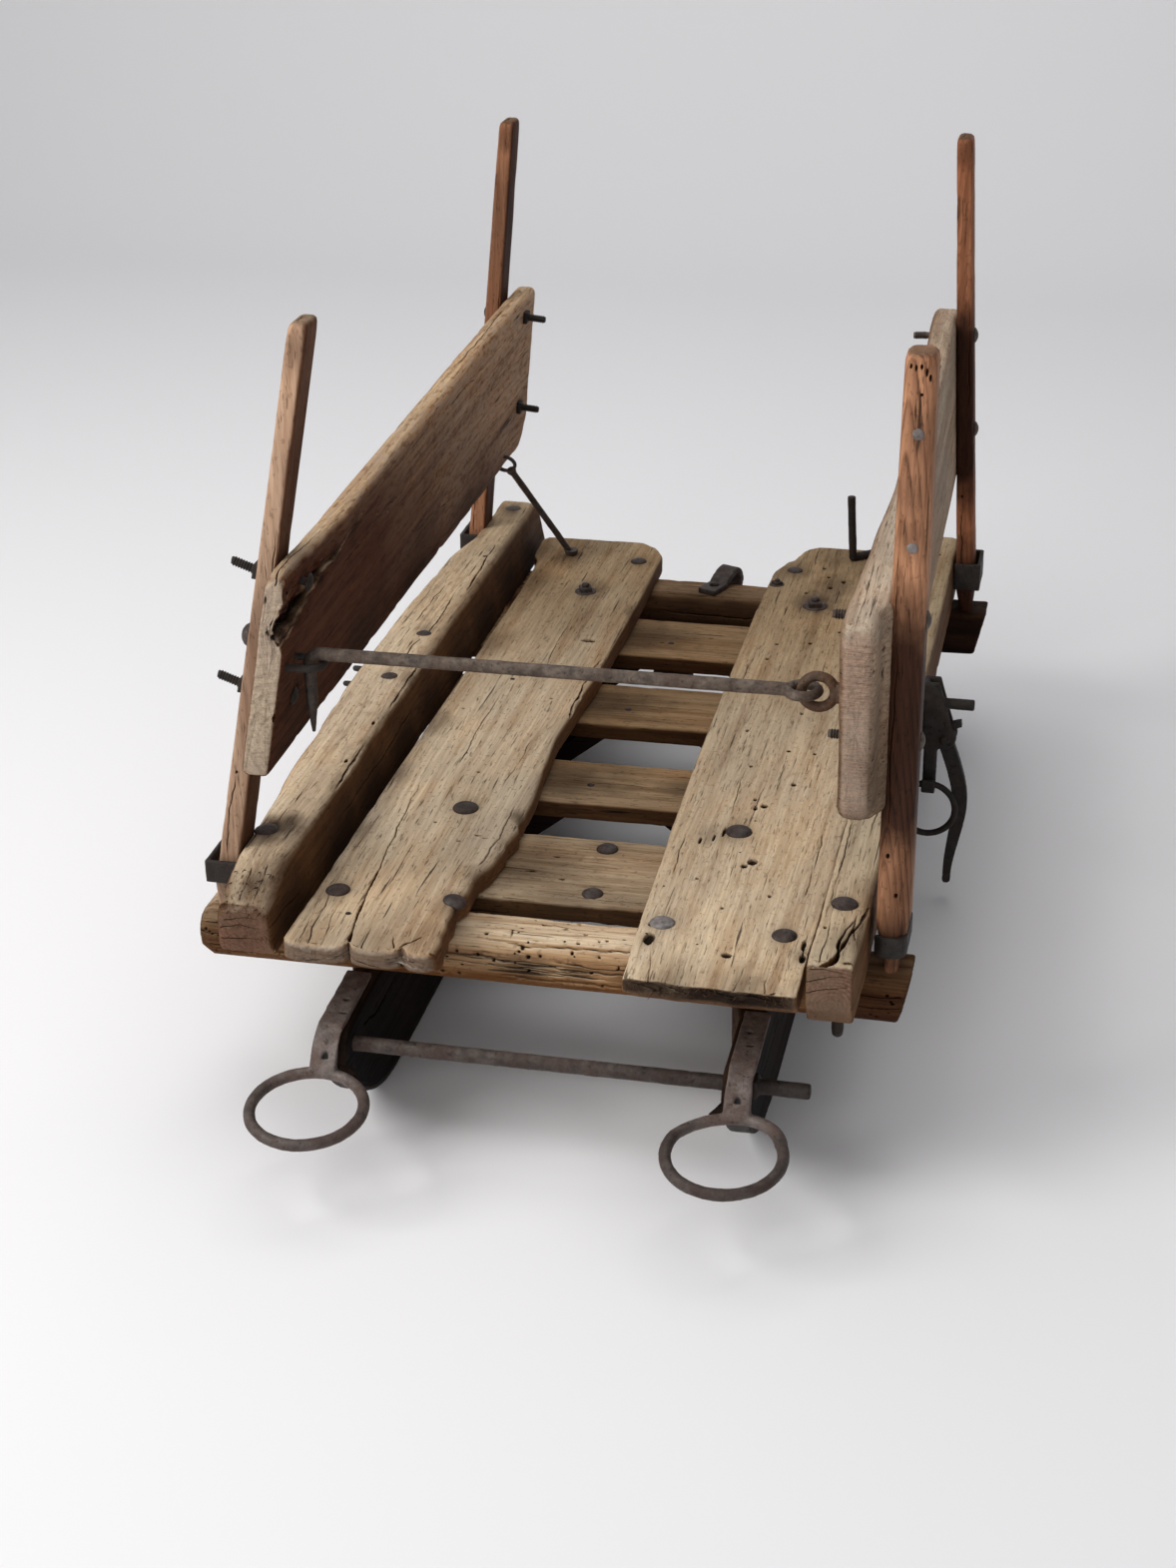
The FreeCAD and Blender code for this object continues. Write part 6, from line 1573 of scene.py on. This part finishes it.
def hug_stake(points):
    """The right front staple is narrow and bent round in front."""
    here = (points[:, 0] > 200) & (points[:, 1] < -300)
    left, right = points[here, 0].min(), points[here, 0].max()
    middle = (left + right) / 2
    flat = (right - left) / 2 - STAPLE_BEND
    turn_y = points[here, 1].min() + STAPLE_BEND
    wide = np.abs(points[:, 0] - middle) - flat
    deep = turn_y - points[:, 1]
    corner = here & (wide > 0) & (deep > 0)
    scale = np.maximum(wide, deep)[corner] / np.hypot(wide, deep)[corner]
    way = np.sign(points[corner, 0] - middle)
    points[corner, 0] = middle + way * (flat + wide[corner] * scale)
    points[corner, 1] = turn_y - deep[corner] * scale
    points[here, 0] = middle + (points[here, 0] - middle) * STAPLE_NARROWER
    points[here, 2] += STAPLE_HIGHER
    return points


STRAP_START = -562.0
STRAP_BLEND = 26.0
STRAP_SHIFT = 6.5


def shift_strap(points):
    """The right strap lies nearer to the outer edge of its runner than its ring."""
    points[:, 0] += np.clip((points[:, 1] - STRAP_START) / STRAP_BLEND, 0, 1) * STRAP_SHIFT
    return points


def trim_shoe(side):
    def trim(points):
        low, high = span("runner_left" if side < 0 else "runner_right")
        share = np.clip((high[0] - points[:, 0]) / (high[0] - low[0]), 0, 1.1)
        points[:, 0] += share * nose_trim(side, points[:, 1])
        return points

    return trim


STAY_FOOT = np.array([-168.0, 428.0, 192.0])
STAY_TURN = np.radians(75.0)
STAY_SHORTER = 0.93
KNOB_NARROWER = 0.38


def turn_stay(points):
    """The stay's eye is turned to the front, the stay is shorter and its foot is a narrow knob."""
    lower = points[np.abs(points[:, 2] - 230) < 4].mean(axis=0)
    upper = points[np.abs(points[:, 2] - 290) < 4].mean(axis=0)
    way = (upper - lower) / np.linalg.norm(upper - lower)
    away = (points - lower) @ way
    turn = STAY_TURN * np.clip((away - away.max() + 26) / 6, 0, 1)
    across = points - lower - away[:, None] * way
    across *= (1 + 0.5 * np.clip((away - away.max() + 24) / 6, 0, 1))[:, None]
    turned = across * np.cos(turn)[:, None] + np.cross(way, across) * np.sin(turn)[:, None]
    points = lower + away[:, None] * way + turned
    points = STAY_FOOT + (points - STAY_FOOT) * STAY_SHORTER
    foot = np.clip(1 - (points[:, 2] - 190.0) / 9.0, 0, 1) ** 0.5
    points[:, :2] = STAY_FOOT[:2] + (points[:, :2] - STAY_FOOT[:2]) * (1 - KNOB_NARROWER * foot)[:, None]
    return points


def rail_fray(rng):
    y = rng.uniform(-494, -450)
    place = (rng.uniform(-262, -226), y, 206 + (y + 497) * 0.42 + rng.uniform(-1, 0.4))
    return place, (rng.normal(0, 0.25), -1, rng.normal(0.1, 0.25))


def deck_fray(rng):
    x = rng.uniform(84, 220)
    place = (x, -509 + rng.uniform(-1.0, 2.0), rng.uniform(180, 189.4))
    return place, (rng.normal(0, 0.4), -1, rng.normal(0, 0.3))


def board_fray(rng):
    y = rng.uniform(-446, -350)
    z = 440 + (y + 452) * 0.27 + rng.uniform(-7, 7)
    line = stake_line("stake_front_left")
    x = float(line(z)[0]) + float(line(z)[1]) + rng.uniform(6, 12)
    return (x, y, z), (0.3, rng.choice((-1.0, 1.0)), rng.normal(-0.2, 0.4))


def sliver_spots(draw, count, seed):
    rng = np.random.default_rng(seed)
    spots = []
    for number in range(count):
        place, facing = draw(rng)
        spots.append((place, facing, rng.uniform(0, 360), (1.0, 1.0, rng.uniform(0.4, 0.9))))
    return spots


make_deck_left()
make_deck_right()
make_rail_left()
make_rail_right()
make_slats()
make_beams()
make_runner(-1, "runner_plank_left", 1111)
make_runner(1, "runner_plank_right", 1212)
make_side(-1, "side_plank_left", 1313)
make_side(1, "side_plank_right", 1414)
make_stake("front_left", 1515, "stake")
make_stake("rear_left", 1616, "stake_rear")
make_stake("front_right", 1717, "stake_spare", True)
make_stake("rear_right", 1818, "stake_red")

STRAP_HOLES = {
    "draft_ring_left": [(-163.7, -471.9, 119, 2.6, 2.2, 2.4), (-160.5, -492.0, 119, 4.6, 1.4, 1.4),
                        (-164.6, -534.0, 106, 3.0, 4.0, 2.6)],
    "draft_ring_right": [(171.0, -459.0, 119, 2.6, 2.2, 2.4), (174.5, -478.0, 119, 4.0, 1.3, 1.4),
                         (173.0, -534.0, 106, 3.2, 3.4, 2.6)],
}
IRON_PIECES = [
    ("draft_ring_left", IRON_STRAP, 1.2, 0.35), ("draft_ring_right", IRON_STRAP, 1.2, 0.35),
    ("nose_rod", IRON, 1.4, 0.35),
    ("tie_rod_eye", IRON_RUSTY, 0.9, 0.2), ("tie_rod_staple", IRON_DARK, 0.9, 0.2),
    ("side_stay", IRON_HEAD, 1.0, 0.25),
    ("corner_hook", IRON_DARK, 1.0, 0.25), ("hitch_hook", IRON_HEAD, 1.0, 0.25),
    ("rail_hanger", IRON_DARK, 1.2, 0.3),
    ("stake_staples", IRON_DARK, 1.2, 0.3), ("side_bolts_left", IRON_DARK, 0.9, 0.15),
    ("side_bolts_right", IRON_ROD, 0.9, 0.15), ("shoe_left", IRON_DARK, 1.8, 0.3),
    ("shoe_right", IRON_DARK, 1.8, 0.3),
]


RESHAPED = {
    "side_bolts_right": trim_bolts,
    "side_bolts_left": lift_bolts,
    "stake_staples": hug_stake,
    "draft_ring_right": shift_strap,
    "shoe_left": trim_shoe(-1),
    "shoe_right": trim_shoe(1),
    "side_stay": turn_stay,
}
# Where a piece gets darker: axis, where it begins, where it is full, how much
DARKER = {
    "draft_ring_left": (1, -540.0, -566.0, 0.45),
    "draft_ring_right": (1, -540.0, -566.0, 0.62),
    "nose_rod": (0, 40.0, 190.0, 0.6),
}
for number, (node, material, voxel, dent) in enumerate(IRON_PIECES):
    forged(node + "_forged", node, material, voxel, dent, number * 7, holes=STRAP_HOLES.get(node, ()),
           reshape=RESHAPED.get(node), thin=0.6 if node == "side_stay" else 0.0, darker=DARKER.get(node))
forged("tie_rod_forged", "tie_rod", IRON_ROD, 1.1, 0.3, 90, body="tie_rod", darker=(0, -176.0, -200.0, 0.97))
forged("hang_ring_forged", "hang_ring", IRON_DARK, 0.8, 0.15, 91, body="hang_ring")
forged("lever_forged", "lever_hook", IRON_DARK, 1.1, 0.2, 92, body="lever_hook", thin=0.5)
make_fasteners()

for node in ("centre_block", "knee_braces_left", "knee_braces_right"):
    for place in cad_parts[node].material_slots:
        place.material = WOODS["bench"]

# Floor, light and camera

FLOOR_COLOUR = colour(243, 243, 245)
# In metres: the floor's half width, where it starts to curve up behind, and the wall it becomes
FLOOR_HALF = 3.2
FLOOR_BACK = 2.4
COVE_RADIUS = 0.9
COVE_STEPS = 12
WALL_HEIGHT = 3.6


def make_floor():
    f = Finish("floor_paint")
    f.shader.inputs["Base Color"].default_value = FLOOR_COLOUR
    f.shader.inputs["Roughness"].default_value = 0.95
    f.shader.inputs["Specular IOR Level"].default_value = 0.1
    bm = bmesh.new()
    profile = [(-FLOOR_HALF, 0.0), (FLOOR_BACK, 0.0)]
    for step in range(1, COVE_STEPS + 1):
        turn = math.radians(step * 90 / COVE_STEPS)
        profile.append((FLOOR_BACK + COVE_RADIUS * math.sin(turn), COVE_RADIUS * (1 - math.cos(turn))))
    profile.append((FLOOR_BACK + COVE_RADIUS, WALL_HEIGHT))
    rows = [[bm.verts.new((x, y, z)) for x in (-FLOOR_HALF, FLOOR_HALF)] for y, z in profile]
    for low, high in zip(rows[:-1], rows[1:]):
        bm.faces.new((low[0], low[1], high[1], high[0])).smooth = True
    mesh = bpy.data.meshes.new("studio_floor")
    bm.to_mesh(mesh)
    bm.free()
    floor = add_object("studio_floor", mesh)
    floor.data.materials.append(f.material)


def area_light(name, place, target, size, power, tone):
    data = bpy.data.lights.new(name, "AREA")
    data.shape = "RECTANGLE"
    data.size, data.size_y = size
    data.energy = power
    data.color = tone
    light = add_object(name, data)
    light.location = place
    light.rotation_euler = (Vector(target) - Vector(place)).to_track_quat("-Z", "Y").to_euler()


def make_light():
    area_light("window_light", (-2.3, -1.5, 2.3), (0.1, 0.1, 0.2), (1.6, 1.8), 71.0, (1.0, 0.985, 0.96))
    area_light("ceiling_light", (-0.2, 0.5, 3.0), (0.0, 0.3, 0.2), (2.6, 2.2), 34.0, (1.0, 0.99, 0.98))
    area_light("front_fill", (0.2, -3.2, 1.4), (0.0, 0.0, 0.1), (2.4, 1.2), 24.0, (1.0, 0.99, 0.98))
    world = bpy.data.worlds.new("studio_air")
    bpy.context.scene.world = world
    world.use_nodes = True
    air = world.node_tree.nodes["Background"]
    air.inputs["Color"].default_value = (0.97, 0.97, 1.0, 1.0)
    air.inputs["Strength"].default_value = 0.22


# The camera, as fitted to the photograph's straight edges: pixels, millimetres and degrees
FRAME_HEIGHT = 1570
FOCAL_PIXELS = 2508
SENSOR_HEIGHT = 36.0
CAMERA_PLACE = (438.0, -2205.0, 1198.0)
CAMERA_TILT = math.radians(25.74)
CAMERA_YAW = math.radians(12.71)
CAMERA_ROLL = math.radians(-0.76)


def make_camera():
    data = bpy.data.cameras.new("camera")
    data.sensor_fit = "VERTICAL"
    data.sensor_height = SENSOR_HEIGHT
    data.lens = SENSOR_HEIGHT * FOCAL_PIXELS / FRAME_HEIGHT
    camera = add_object("camera", data)
    forward = Vector((-math.sin(CAMERA_YAW) * math.cos(CAMERA_TILT),
                      math.cos(CAMERA_YAW) * math.cos(CAMERA_TILT),
                      -math.sin(CAMERA_TILT)))
    right = Vector((math.cos(CAMERA_YAW), math.sin(CAMERA_YAW), 0.0))
    up = right.cross(forward)
    side = right * math.cos(CAMERA_ROLL) + up * math.sin(CAMERA_ROLL)
    above = up * math.cos(CAMERA_ROLL) - right * math.sin(CAMERA_ROLL)
    turn = Matrix((side, above, -forward)).transposed()
    camera.matrix_world = Matrix.Translation(Vector(to_frame(CAMERA_PLACE))) @ turn.to_4x4()
    data.clip_end = 50.0
    bpy.context.scene.camera = camera


make_floor()
make_light()
make_camera()
bpy.context.scene.view_settings.view_transform = "Standard"
